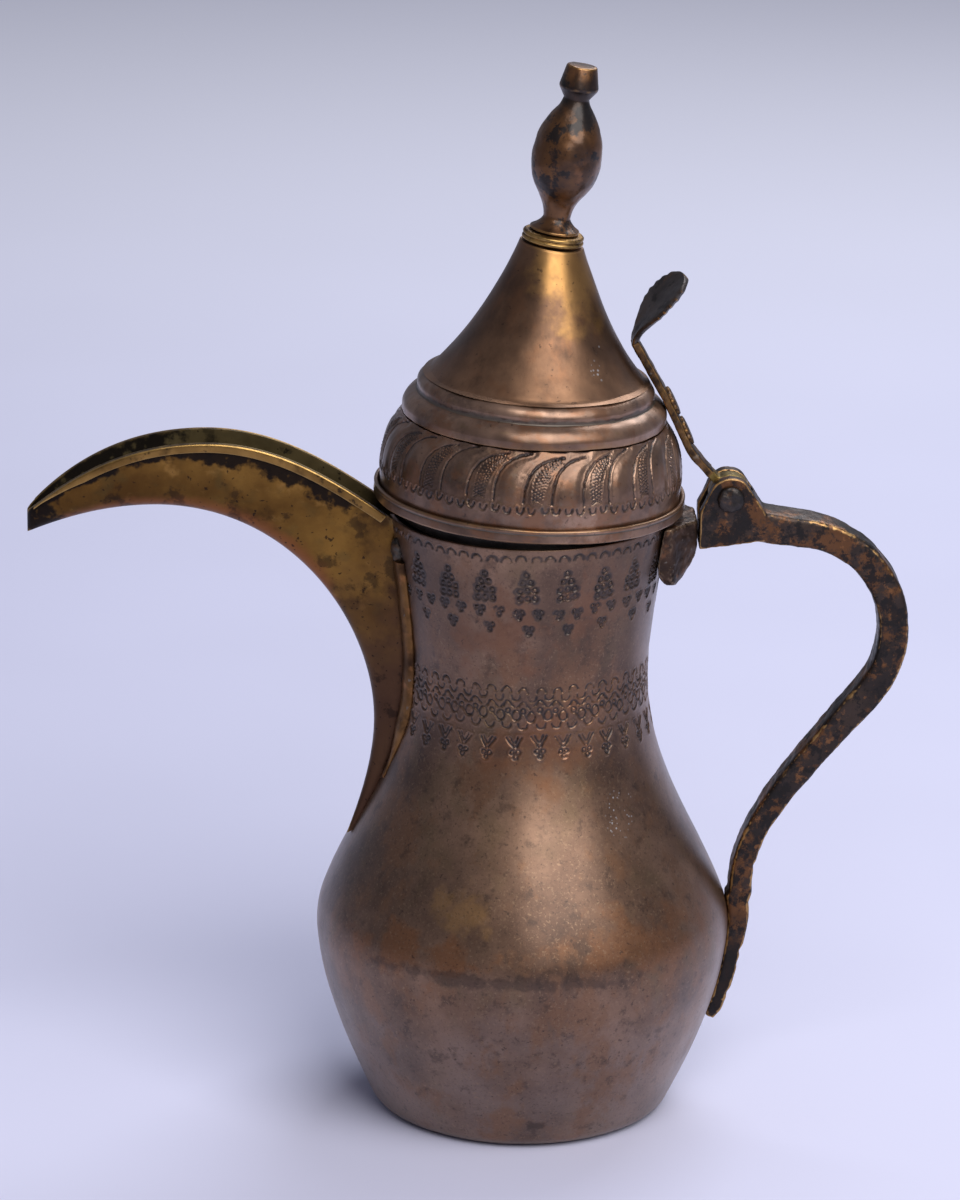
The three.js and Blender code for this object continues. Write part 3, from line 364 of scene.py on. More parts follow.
class Wiring:
    """Adds nodes to a tree and joins them by socket."""

    def __init__(self, tree: bpy.types.NodeTree) -> None:
        """Starts on an empty tree."""
        self.tree = tree

    def add(self, kind: str, inputs: dict | None = None, **settings: object) -> bpy.types.Node:
        """Adds a node.

        Args:
            kind: The node's type.
            inputs: Values or sockets for its inputs, by name or number.
            settings: The node's own properties.

        Returns:
            The node.
        """
        node = self.tree.nodes.new(kind)
        for key, value in settings.items():
            setattr(node, key, value)
        for key, value in (inputs or {}).items():
            named = [s for s in node.inputs if s.enabled and s.name == key]
            socket = node.inputs[key] if isinstance(key, int) else named[0]
            if isinstance(value, bpy.types.NodeSocket):
                self.tree.links.new(value, socket)
            else:
                socket.default_value = value
        return node

    def math(self, operation: str, a: Socket | float, b: Socket | float = 0.0) -> Socket:
        """A sum of two values."""
        return self.add("ShaderNodeMath", {0: a, 1: b}, operation=operation).outputs[0]

    def vector(self, operation: str, a: Socket, b: Socket | Colour) -> Socket:
        """A sum of two vectors."""
        return self.add("ShaderNodeVectorMath", {0: a, 1: b}, operation=operation).outputs[0]

    def kept(self, name: str, kind: str) -> bpy.types.Node:
        """The node that reads what a mesh keeps under a name."""
        return self.add("GeometryNodeInputNamedAttribute", {"Name": name}, data_type=kind)

    def chance(self, low: Socket | float, high: Socket | float, seed: Socket) -> Socket:
        """A random value for each point."""
        inputs = {"Min": low, "Max": high, "Seed": seed}
        return self.add("FunctionNodeRandomValue", inputs, data_type="FLOAT").outputs[1]

    def pushed(self, geometry: Socket, normal: Socket, amount: Socket) -> Socket:
        """Geometry whose points are moved along a direction."""
        offset = self.add("ShaderNodeVectorMath", {0: normal, "Scale": amount}, operation="SCALE").outputs[0]
        return self.add("GeometryNodeSetPosition", {"Geometry": geometry, "Offset": offset}).outputs[0]

    def ramp(
        self, value: Socket, low: Socket | float, high: Socket | float, start: float = 0.0, end: float = 1.0
    ) -> Socket:
        """A smooth climb from start to end while a value goes from low to high."""
        inputs = {"Value": value, "From Min": low, "From Max": high, "To Min": start, "To Max": end}
        return self.add("ShaderNodeMapRange", inputs, interpolation_type="SMOOTHSTEP").outputs[0]


def new_tree(name: str, sockets: dict[str, str]) -> tuple[bpy.types.NodeTree, Wiring, dict[str, Socket]]:
    """A geometry node tree with named inputs.

    Args:
        name: The tree's name.
        sockets: Its inputs after the geometry, as name to socket type.

    Returns:
        The tree, its wiring, and the sockets that give its inputs.
    """
    tree = bpy.data.node_groups.new(name, "GeometryNodeTree")
    tree.interface.new_socket(name="Geometry", in_out="INPUT", socket_type="NodeSocketGeometry")
    for label, kind in sockets.items():
        tree.interface.new_socket(name=label, in_out="INPUT", socket_type=kind)
    tree.interface.new_socket(name="Geometry", in_out="OUTPUT", socket_type="NodeSocketGeometry")
    entry = tree.nodes.new("NodeGroupInput")
    return tree, Wiring(tree), {s.name: s for s in entry.outputs if s.name}


def close_tree(wiring: Wiring, geometry: Socket, material: Socket) -> None:
    """Ends a tree with real geometry in its material."""
    real = wiring.add("GeometryNodeRealizeInstances", {"Geometry": geometry}).outputs[0]
    painted = wiring.add("GeometryNodeSetMaterial", {"Geometry": real, "Material": material}).outputs[0]
    wiring.add("NodeGroupOutput", {"Geometry": painted})


def add_tree(obj: bpy.types.Object, tree: bpy.types.NodeTree, values: dict[str, object]) -> None:
    """Puts a tree on an object as a modifier and sets its named inputs."""
    modifier = obj.modifiers.new(tree.name, "NODES")
    modifier.node_group = tree
    for item in tree.interface.items_tree:
        if item.in_out == "INPUT" and item.name in values:
            modifier[item.identifier] = values[item.name]


def baked(obj: bpy.types.Object) -> bpy.types.Object:
    """Turns an object's modifiers into its own plain mesh."""
    graph = bpy.context.evaluated_depsgraph_get()
    made = obj.evaluated_get(graph)
    mesh = bpy.data.meshes.new_from_object(made, preserve_all_data_layers=True, depsgraph=graph)
    before = obj.data
    obj.modifiers.clear()
    obj.data = mesh
    mesh.name = before.name
    bpy.data.meshes.remove(before)
    mesh.shade_smooth()
    return obj


def points_of(obj: bpy.types.Object) -> Points:
    """An object's points in millimetres."""
    points = np.empty(len(obj.data.vertices) * 3)
    obj.data.vertices.foreach_get("co", points)
    return points.reshape(-1, 3) / MM


def place_points(obj: bpy.types.Object, points: Points) -> None:
    """Moves an object's points to places in millimetres."""
    obj.data.vertices.foreach_set("co", (points * MM).ravel())
    obj.data.update()


def discard(*objects: bpy.types.Object) -> None:
    """Removes working objects and their meshes."""
    for obj in objects:
        mesh = obj.data
        bpy.data.objects.remove(obj)
        bpy.data.meshes.remove(mesh)


def combined(obj: bpy.types.Object, tool: bpy.types.Object, operation: str) -> None:
    """Adds a boolean with another object."""
    modifier = obj.modifiers.new(operation.lower(), "BOOLEAN")
    modifier.operation = operation
    modifier.solver = "MANIFOLD"
    modifier.object = tool


def cast(obj: bpy.types.Object, voxel: float, smoothing: int) -> None:
    """Adds a remesh and a smoothing that melt an object's parts into one cast skin."""
    remesh = obj.modifiers.new("remesh", "REMESH")
    remesh.mode = "VOXEL"
    remesh.voxel_size = voxel * MM
    smooth = obj.modifiers.new("smooth", "SMOOTH")
    smooth.factor = 0.5
    smooth.iterations = smoothing


def measure_edges(obj: bpy.types.Object, radius: float, rounds: int = 2) -> None:
    """Stores how convex an object's skin is at each point, from -1 in a crease to 1 on an edge.

    Args:
        obj: The object to measure.
        radius: The radius of an edge that counts as 1, in millimetres.
        rounds: How many times the values are averaged with their neighbours.
    """
    mesh = obj.data
    count = len(mesh.vertices)
    place = np.empty(count * 3)
    normal = np.empty(count * 3)
    pairs = np.empty(len(mesh.edges) * 2, dtype=int)
    mesh.vertices.foreach_get("co", place)
    mesh.vertex_normals.foreach_get("vector", normal)
    mesh.edges.foreach_get("vertices", pairs)
    place, normal, pairs = place.reshape(-1, 3), normal.reshape(-1, 3), pairs.reshape(-1, 2)
    both = np.concatenate([pairs, pairs[:, ::-1]])
    run = place[both[:, 0]] - place[both[:, 1]]
    square = np.maximum(np.einsum("ij,ij->i", run, run), 1e-12)
    bend = 2 * np.einsum("ij,ij->i", run, normal[both[:, 0]]) / square
    share = np.maximum(np.bincount(both[:, 0], minlength=count), 1)
    value = np.bincount(both[:, 0], bend, minlength=count) / share * radius * MM
    for _ in range(rounds):
        value = 0.5 * value + 0.5 * np.bincount(both[:, 0], value[both[:, 1]], minlength=count) / share
    keep_value(mesh, "edge", np.clip(value, -1, 1))


# Finishes


@dataclass
class Surface:
    """What a finish has mixed so far: colour, roughness and relief."""

    colour: Socket
    roughness: Socket
    height: Socket


class Sheet(Wiring):
    """The node tree of one material."""

    def __init__(self, name: str) -> None:
        """Starts a material with nothing in it but object coordinates."""
        self.material = bpy.data.materials.new(name)
        self.material.use_nodes = True
        self.material.node_tree.nodes.clear()
        super().__init__(self.material.node_tree)
        self.place = self.add("ShaderNodeTexCoord").outputs["Object"]

    def noise(
        self,
        size: float,
        detail: float = 3.0,
        seed: float = 0.0,
        stretch: Colour = (1, 1, 1),
        rough: float = 0.55,
    ) -> Socket:
        """Noise whose patches are about a size across, in millimetres."""
        moved = {"Vector": self.place, "Location": (seed, 2 * seed, -seed), "Scale": stretch}
        place = self.add("ShaderNodeMapping", moved).outputs[0]
        inputs = {"Vector": place, "Scale": 1 / (size * MM), "Detail": detail, "Roughness": rough}
        return self.add("ShaderNodeTexNoise", inputs).outputs[0]

    def swing(self, value: Socket, amount: float) -> Socket:
        """Noise turned into a swing about nought."""
        return self.math("MULTIPLY", self.math("SUBTRACT", value, 0.5), amount)

    def away(self, centre: Colour, reach: Colour) -> Socket:
        """The distance from a point, where 1 is its reach along each axis, in millimetres."""
        scale = tuple(1 / (each * MM) for each in reach)
        shift = tuple(-place * MM * each for place, each in zip(centre, scale))
        local = self.add("ShaderNodeMapping", {"Vector": self.place, "Location": shift, "Scale": scale})
        return self.add("ShaderNodeVectorMath", {0: local.outputs[0]}, operation="LENGTH").outputs["Value"]

    def lay(self, under: Surface, mask: Socket, tone: Colour, gloss: float) -> None:
        """Lays a tone over a surface where a mask shows it."""
        under.colour = self.blend(mask, under.colour, tone)
        under.roughness = self.math("ADD", under.roughness, self.math("MULTIPLY", mask, gloss))

    def blend(self, factor: Socket, a: Socket | Colour, b: Socket | Colour) -> Socket:
        """A mix of two colours."""
        ends = [value if isinstance(value, bpy.types.NodeSocket) else (*value, 1.0) for value in (a, b)]
        inputs = {"Factor": factor, "A": ends[0], "B": ends[1]}
        return self.add("ShaderNodeMix", inputs, data_type="RGBA").outputs[2]

    def attribute(self, name: str) -> Socket:
        """A value kept at the mesh's points."""
        return self.add("ShaderNodeAttribute", attribute_name=name).outputs["Fac"]


@dataclass(frozen=True)
class Mottle:
    """Cloudy patches of another tone.

    Attributes:
        tone: The patches' colour.
        size: How large they are, in millimetres.
        low: Noise below this shows none of the tone.
        high: Noise above this shows all of it.
        amount: The most that shows.
        gloss: How much the roughness changes there.
        stretch: Scale of the pattern along each axis.
        seed: Moves the pattern.
        detail: How many finer patterns are laid over it.
        rough: How strong those are.
    """

    tone: Colour
    size: float
    low: float
    high: float
    amount: float = 1.0
    gloss: float = 0.0
    stretch: Colour = (1, 1, 1)
    seed: float = 0.0
    detail: float = 4.0
    rough: float = 0.55

    def paint(self, sheet: Sheet, under: Surface) -> None:
        """Lays the patches over a surface."""
        cloud = sheet.noise(self.size, self.detail, self.seed, self.stretch, self.rough)
        mask = sheet.ramp(cloud, self.low, self.high, 0.0, self.amount)
        sheet.lay(under, mask, self.tone, self.gloss)


@dataclass(frozen=True)
class Kept:
    """A tone where a value kept in the mesh is high, broken up by noise.

    Attributes:
        attribute: The value's name.
        tone: The colour.
        low: The value where the tone starts.
        high: The value where it is full.
        amount: The most that shows.
        size: The size of the break-up, in millimetres.
        broken: How much the noise shifts the value.
        gloss: How much the roughness changes there.
    """

    attribute: str
    tone: Colour
    low: float
    high: float
    amount: float = 1.0
    size: float = 3.0
    broken: float = 0.5
    gloss: float = 0.0

    def paint(self, sheet: Sheet, under: Surface) -> None:
        """Lays the tone over a surface."""
        shift = sheet.swing(sheet.noise(self.size, 3.0, 4.0), self.broken)
        value = sheet.math("ADD", sheet.attribute(self.attribute), shift)
        mask = sheet.ramp(value, self.low, self.high, 0.0, self.amount)
        sheet.lay(under, mask, self.tone, self.gloss)


@dataclass(frozen=True)
class Spot:
    """A patch of another tone round a point: a stain, a rubbed place, and in some finishes painted highlight, shade
    and reflection.

    Attributes:
        centre: The point, in millimetres.
        reach: Its half sizes along X, Y and Z, in millimetres.
        tone: The colour.
        amount: The most that shows.
        broken: How ragged it is.
        size: The size of its raggedness, in millimetres.
        gloss: How much the roughness changes there.
    """

    centre: Colour
    reach: Colour
    tone: Colour
    amount: float = 1.0
    broken: float = 0.9
    size: float = 6.0
    gloss: float = 0.0

    def paint(self, sheet: Sheet, under: Surface) -> None:
        """Lays the patch over a surface."""
        away = sheet.away(self.centre, self.reach)
        ragged = sheet.swing(sheet.noise(self.size, 4.0, self.reach[0]), self.broken * 2)
        mask = sheet.ramp(sheet.math("ADD", away, ragged), 1.0, 0.35, 0.0, self.amount)
        sheet.lay(under, mask, self.tone, self.gloss)


@dataclass(frozen=True)
class Specks:
    """Small spots of another tone inside a place.

    Attributes:
        tone: The spots' colour.
        size: The distance between them, in millimetres.
        share: How much of that distance a spot takes.
        thin: Noise below this has no spots.
        centre: The middle of the place, in millimetres.
        reach: Its half sizes, in millimetres.
        amount: The most that shows.
    """

    tone: Colour
    size: float
    share: float
    thin: float = 0.5
    centre: Colour = (0, 0, 160)
    reach: Colour = (400, 400, 400)
    amount: float = 1.0

    def paint(self, sheet: Sheet, under: Surface) -> None:
        """Scatters the spots over a surface."""
        inputs = {"Vector": sheet.place, "Scale": 1 / (self.size * MM), "Randomness": 1.0}
        cell = sheet.add("ShaderNodeTexVoronoi", inputs).outputs["Distance"]
        spot = sheet.ramp(cell, self.share, 0.4 * self.share)
        inside = sheet.ramp(sheet.away(self.centre, self.reach), 1.0, 0.7)
        some = sheet.ramp(sheet.noise(4 * self.size, 2.0, 9.0), self.thin, self.thin + 0.08)
        shown = sheet.math("MULTIPLY", inside, self.amount)
        mask = sheet.math("MULTIPLY", sheet.math("MULTIPLY", spot, some), shown)
        under.colour = sheet.blend(mask, under.colour, self.tone)


@dataclass(frozen=True)
class Grain:
    """Relief that is too fine for the mesh.

    Attributes:
        size: The size of the bumps, in millimetres.
        depth: Their height, in millimetres.
        stretch: Scale of the pattern along each axis.
        gloss: How much the roughness varies with them.
        seed: Moves the pattern.
    """

    size: float
    depth: float
    stretch: Colour = (1, 1, 1)
    gloss: float = 0.0
    seed: float = 2.0

    def paint(self, sheet: Sheet, under: Surface) -> None:
        """Adds the relief to a surface."""
        bumps = sheet.noise(self.size, 3.0, self.seed, self.stretch)
        under.height = sheet.math("ADD", under.height, sheet.math("MULTIPLY", bumps, self.depth * MM))
        under.roughness = sheet.math("ADD", under.roughness, sheet.swing(bumps, self.gloss))


@dataclass(frozen=True)
class Finish:
    """A metal finish: a tone that drifts between two, under layers of wear and dirt, and in some finishes painted
    highlights, shade and reflections.

    Attributes:
        name: The material's name.
        slot: The record's slot; not used by this script.
        dark: The darker tone.
        light: The lighter tone.
        drift: The size of the drift between them, in millimetres.
        metallic: How metallic the surface is under its patina.
        roughness: The plain roughness.
        layers: What lies over it, in order.
        coat: How much pale sheen the patina has.
        coat_roughness: How dull that sheen is.
    """

    name: str
    slot: Slot
    dark: Colour
    light: Colour
    drift: float = 30.0
    metallic: float = 0.8
    roughness: float = 0.38
    layers: tuple = ()
    coat: float = 0.0
    coat_roughness: float = 0.42

    def build(self) -> bpy.types.Material:
        """The finish as a node material."""
        sheet = Sheet(self.name)
        cloud = sheet.noise(self.drift, 5.0, 1.0)
        fine = sheet.noise(self.drift / 6, 4.0, 3.0)
        surface = Surface(
            sheet.blend(sheet.ramp(cloud, 0.3, 0.7), self.dark, self.light),
            sheet.ramp(fine, 0.2, 0.8, self.roughness - 0.05, self.roughness + 0.06),
            sheet.math("MULTIPLY", fine, 0.02 * MM),
        )
        for layer in self.layers:
            layer.paint(sheet, surface)
        relief = sheet.add("ShaderNodeBump", {"Height": surface.height, "Strength": 1.0, "Distance": 1.0})
        inputs = {
            "Base Color": surface.colour, "Metallic": self.metallic, "Roughness": surface.roughness,
            "Normal": relief.outputs[0], "Coat Weight": self.coat, "Coat Roughness": self.coat_roughness,
            "Coat Normal": relief.outputs[0],
        }
        shader = sheet.add("ShaderNodeBsdfPrincipled", inputs)
        sheet.add("ShaderNodeOutputMaterial", {"Surface": shader.outputs[0]})
        return sheet.material


# Ornament


def circlet(x: float, y: float, radius: float) -> Points:
    """A small punched ring."""
    return [x, y] + radius * unit(np.linspace(0, 2 * math.pi, 11))


def arch(width: float, rise: float, flip: float = 1.0) -> Points:
    """A punched arch, or a cup when it is flipped."""
    turn = np.linspace(0, math.pi, 9)
    return np.stack([width / 2 * np.cos(turn), flip * (rise * np.sin(turn) - rise / 2)], axis=-1)


def trio(x: float, y: float) -> list[Points]:
    """Three circlets, one below two."""
    return [circlet(x + right, y + up, 0.62) for right, up in ((-0.85, 0.6), (0.85, 0.6), (0, -0.85))]


def pyramid() -> list[Points]:
    """A pyramid of circlets."""
    marks = []
    for row, amount in enumerate((1, 2, 3, 3)):
        for k in range(amount):
            marks.append(circlet(2.2 * (k - (amount - 1) / 2), 3.8 - 2.5 * row, 0.8))
    return marks


def hanging_group() -> list[Points]:
    """Two trios with a third hanging below them."""
    return trio(-2.9, 2.4) + trio(2.9, 2.4) + trio(0, -2.6)


def guilloche(pitch: float) -> list[Points]:
    """Rows of hooks and rings that interlock into a net."""
    half = pitch / 2
    lean = np.array([(0.3, 2.3), (half - 0.5, 0.5)])
    return [
        arch(2.5, 1.5, -1) + [half, 3.2],
        arch(2.3, 1.6) + [0, 1.6],
        circlet(0, -0.7, 0.75),
        lean,
        lean * [-1, 1],
        arch(2.3, 1.5) + [half, -1.3],
        arch(2.5, 1.6, -1) + [half, -2.9],
        np.array([(0.5, -1.6), (half - 0.9, -3.0)]),
    ]


def chevron() -> list[Points]:
    """A doubled V with a trio under it."""
    strokes = []
    for side in (-1, 1):
        strokes.append(np.array([(side * 2.3, 2.2), (side * 0.35, -0.9)]))
        strokes.append(np.array([(side * 1.25, 2.3), (side * 0.2, 0.3)]))
    return strokes + trio(0, -2.9)


def swirl(start: float, reach: float, top: float) -> Points:
    """A comma-shaped line that climbs and then runs off sideways."""
    bend = (start + 0.12 * reach, 0.9 * top)
    return bezier((start, 0), (start - 0.4, 0.5 * top), bend, (start + reach, top), steps=24)


def swirl_pair() -> list[Points]:
    """The two lines of a swirled panel."""
    return [swirl(-4.2, 11.5, 14.2), swirl(4.2, 10.5, 14.6)]


def hatching() -> list[Points]:
    """Crossed strokes that fill the middle of a swirled panel."""
    middle = Track(swirl(-0.2, 10.0, 13.6))
    places = np.linspace(0.03, 0.8, 16)
    step = places[1] - places[0]
    strokes = []
    for place in places:
        half = float(stops([(0, 1.5), (0.4, 2.1), (0.8, 1.1)], np.array([place]))[0])
        for lean in (-1, 1):
            ends = middle.at(np.array([place - lean * step, place + lean * step]))
            ahead = middle.heading(np.array([place, place]))
            side = np.stack([ahead[:, 1], -ahead[:, 0]], axis=-1) * np.array([[-half], [half]])
            strokes.append(ends + side)
    return strokes


@dataclass(frozen=True)
class PunchRow:
    """A row of punched or chased marks round a turned surface.

    Attributes:
        marks: The strokes of one mark, in millimetres.
        count: How many go round.
        level: Their height on the rolled-out surface, in millimetres.
        depth: How deep a stroke is.
        width: Half the width of a stroke.
        burr: How high the metal stands up beside it.
        valley: How deep the soft dip round a stroke is.
        valley_width: How far that dip reaches.
        soot: How far the dirt round a stroke reaches.
        jitter: How uneven the row is, in millimetres.
        phase: Where the first mark is, as a share of the pitch.
    """

    marks: tuple
    count: int
    level: float
    depth: float = 0.36
    width: float = 0.44
    burr: float = 0.10
    valley: float = 0.0
    valley_width: float = 1.0
    soot: float = 1.2
    jitter: float = 0.3
    phase: float = 0.0

    tree: ClassVar[bpy.types.NodeTree | None] = None

    def strokes(self, name: str) -> bpy.types.Object:
        """One mark as an object of loose edges, lying flat."""
        points: list[list[float]] = []
        edges: list[tuple[int, int]] = []
        for stroke in self.marks:
            first = len(points)
            points += [[x * MM, y * MM, 0.0] for x, y in stroke]
            edges += [(i, i + 1) for i in range(first, len(points) - 1)]
        mesh = bpy.data.meshes.new(name)
        mesh.from_pydata(points, edges, [])
        return linked(name, mesh)

    @classmethod
    def chasing(cls) -> bpy.types.NodeTree:
        """The tree that sets marks out in a row and presses them into a surface."""
        if cls.tree is not None:
            return cls.tree
        floats = ["Pitch", "Start", "Level", "Depth", "Width", "Burr"]
        floats += ["Valley", "Valley Width", "Soot", "Jitter"]
        kinds = {"Mark": "NodeSocketObject", "Material": "NodeSocketMaterial"}
        kinds |= {name: "NodeSocketInt" for name in ("Count", "Seed")}
        tree, w, given = new_tree("chasing", kinds | {name: "NodeSocketFloat" for name in floats})
        first = w.add("ShaderNodeCombineXYZ", {"X": given["Start"], "Y": given["Level"]}).outputs[0]
        step = w.add("ShaderNodeCombineXYZ", {"X": given["Pitch"]}).outputs[0]
        spaced = {"Count": given["Count"], "Start Location": first, "Offset": step}
        row = w.add("GeometryNodeMeshLine", spaced).outputs[0]
        low = w.math("MULTIPLY", given["Jitter"], -1.0)
        aside, above = (w.chance(low, given["Jitter"], w.math("ADD", given["Seed"], step)) for step in (0, 1))
        shift = w.add("ShaderNodeCombineXYZ", {"X": aside, "Y": above}).outputs[0]
        uneven = w.add("GeometryNodeSetPosition", {"Geometry": row, "Offset": shift}).outputs[0]
        turn = w.add("ShaderNodeCombineXYZ", {"Z": w.chance(-MARK_TWIST, MARK_TWIST, given["Seed"])}).outputs[0]
        mark = w.add("GeometryNodeObjectInfo", {"Object": given["Mark"]}).outputs["Geometry"]
        copies = {"Points": uneven, "Instance": mark, "Rotation": turn}
        placed = w.add("GeometryNodeInstanceOnPoints", copies).outputs[0]
        strokes = w.add("GeometryNodeRealizeInstances", {"Geometry": placed}).outputs[0]
        flat = w.kept("unrolled", "FLOAT_VECTOR").outputs[0]
        wander = w.add("ShaderNodeTexNoise", {"Vector": flat, "Scale": 700.0, "Detail": 1.0}).outputs["Color"]
        drift = w.vector("MULTIPLY", w.vector("SUBTRACT", wander, (0.5, 0.5, 0.5)), (0.7 * MM, 0.7 * MM, 0.0))
        nearby = {0: strokes, "Sample Position": w.vector("ADD", flat, drift)}
        near = w.add("GeometryNodeProximity", nearby, target_element="EDGES").outputs["Distance"]
        blow = w.add("ShaderNodeTexNoise", {"Vector": flat, "Scale": 220.0, "Detail": 2.0}).outputs[0]
        force = w.ramp(blow, 0.32, 0.54, 0.5, 1.0)
        groove = w.math("MULTIPLY", w.ramp(near, 0.0, given["Width"], 1.0, 0.0), force)
        inner, crest, outer = (w.math("MULTIPLY", given["Width"], share) for share in (0.6, 1.3, 2.4))
        rise, fall = w.ramp(near, inner, crest), w.ramp(near, crest, outer, 1.0, 0.0)
        dip = w.ramp(near, 0.0, given["Valley Width"], 1.0, 0.0)
        lift = w.math("MULTIPLY", w.math("MULTIPLY", rise, fall), given["Burr"])
        cut, soft = w.math("MULTIPLY", groove, given["Depth"]), w.math("MULTIPLY", dip, given["Valley"])
        sink = w.math("ADD", cut, soft)
        normal = w.add("GeometryNodeInputNormal").outputs[0]
        pressed = w.pushed(given["Geometry"], normal, w.math("SUBTRACT", lift, sink))
        for label, value in (("punch", groove), ("soot", w.ramp(near, 0.0, given["Soot"], 1.0, 0.0))):
            most = w.math("MAXIMUM", w.kept(label, "FLOAT").outputs[0], value)
            keep = {"Geometry": pressed, "Name": label, "Value": most}
            pressed = w.add("GeometryNodeStoreNamedAttribute", keep, data_type="FLOAT", domain="POINT").outputs[0]
        close_tree(w, pressed, given["Material"])
        cls.tree = tree
        return tree

    def press(
        self, obj: bpy.types.Object, reference: float, seed: int, material: bpy.types.Material
    ) -> bpy.types.Object:
        """Adds the row to an object.

        Args:
            obj: The turned surface, with its rolled-out places.
            reference: The radius that the surface was rolled out at, in millimetres.
            seed: The row's own seed.
            material: The surface's material.

        Returns:
            The mark's object, to be removed when the surface is baked.
        """
        mark = self.strokes("mark")
        pitch = 2 * math.pi * reference / self.count
        lengths = {
            "Pitch": pitch, "Start": self.phase * pitch - math.pi * reference, "Level": self.level,
            "Depth": self.depth, "Width": self.width, "Burr": self.burr, "Valley": self.valley,
            "Valley Width": self.valley_width, "Soot": self.soot, "Jitter": self.jitter,
        }
        values = {"Mark": mark, "Count": self.count + 1, "Seed": seed, "Material": material}
        values |= {name: length * MM for name, length in lengths.items()}
        add_tree(obj, self.chasing(), values)
        return mark


@dataclass(frozen=True)
class Weathering:
    """Dents and casting roughness: noise that moves the skin along its normal.

    Attributes:
        size: The size of the dents, in millimetres.
        depth: How far the skin moves at most, in millimetres.
        inward: 0 moves it both ways, 1 only inwards.
        seed: Moves the pattern.
    """

    size: float
    depth: float
    inward: float = 0.0
    seed: float = 0.0

    tree: ClassVar[bpy.types.NodeTree | None] = None

    @classmethod
    def denting(cls) -> bpy.types.NodeTree:
        """The tree that moves a skin by noise."""
        if cls.tree is not None:
            return cls.tree
        floats = {name: "NodeSocketFloat" for name in ("Scale", "Depth", "Inward", "Seed")}
        tree, w, given = new_tree("denting", floats | {"Material": "NodeSocketMaterial"})
        place = w.add("GeometryNodeInputPosition").outputs[0]
        inputs = {"Vector": place, "W": given["Seed"], "Scale": given["Scale"], "Detail": 2.0}
        cloud = w.add("ShaderNodeTexNoise", inputs, noise_dimensions="4D").outputs[0]
        swing = w.ramp(cloud, 0.25, 0.75, -1.0, 1.0)
        push = w.math("MULTIPLY", w.math("SUBTRACT", swing, given["Inward"]), given["Depth"])
        stored = w.kept("outward", "FLOAT_VECTOR")
        unit = w.add("ShaderNodeVectorMath", {0: stored.outputs[0]}, operation="NORMALIZE").outputs[0]
        plain = w.add("GeometryNodeInputNormal").outputs[0]
        choice = {"Switch": stored.outputs["Exists"], "False": plain, "True": unit}
        normal = w.add("GeometryNodeSwitch", choice, input_type="VECTOR").outputs[0]
        close_tree(w, w.pushed(given["Geometry"], normal, push), given["Material"])
        cls.tree = tree
        return tree

    def add(self, obj: bpy.types.Object, material: bpy.types.Material) -> None:
        """Adds the weathering to an object."""
        values = {
            "Scale": 1 / (self.size * MM), "Depth": self.depth * MM, "Inward": self.inward,
            "Seed": self.seed, "Material": material,
        }
        add_tree(obj, self.denting(), values)


# Palette

DARK_BROWN: Colour = (0.030, 0.015, 0.009)
MID_BROWN: Colour = (0.098, 0.049, 0.027)
WARM_BROWN: Colour = (0.20, 0.086, 0.036)
OLIVE_BROWN: Colour = (0.15, 0.092, 0.044)
RUST: Colour = (0.22, 0.088, 0.030)
SAND: Colour = (0.30, 0.19, 0.11)
OLD_GOLD: Colour = (0.44, 0.235, 0.066)
BRIGHT_GOLD: Colour = (0.62, 0.40, 0.14)
COPPER: Colour = (0.40, 0.17, 0.065)
SOOT: Colour = (0.011, 0.009, 0.009)
SLATE: Colour = (0.026, 0.022, 0.023)
OLIVE: Colour = (0.085, 0.062, 0.022)
SOLDER: Colour = (0.20, 0.18, 0.155)
CHALK: Colour = (0.55, 0.54, 0.53)
DUST: Colour = (0.17, 0.145, 0.115)
# The tone of a painted reflection: a pale grey sheen where the lower bowl reflects the floor.
PAINTED_SHEEN_BROWN: Colour = (0.25, 0.182, 0.152)

CHASED = (
    Kept("soot", SLATE, 0.4, 1.0, 0.7, 3.5, 1.9, 0.12),
    Kept("punch", SOOT, 0.3, 0.95, 0.6, 2.0, 0.7, 0.1),
)

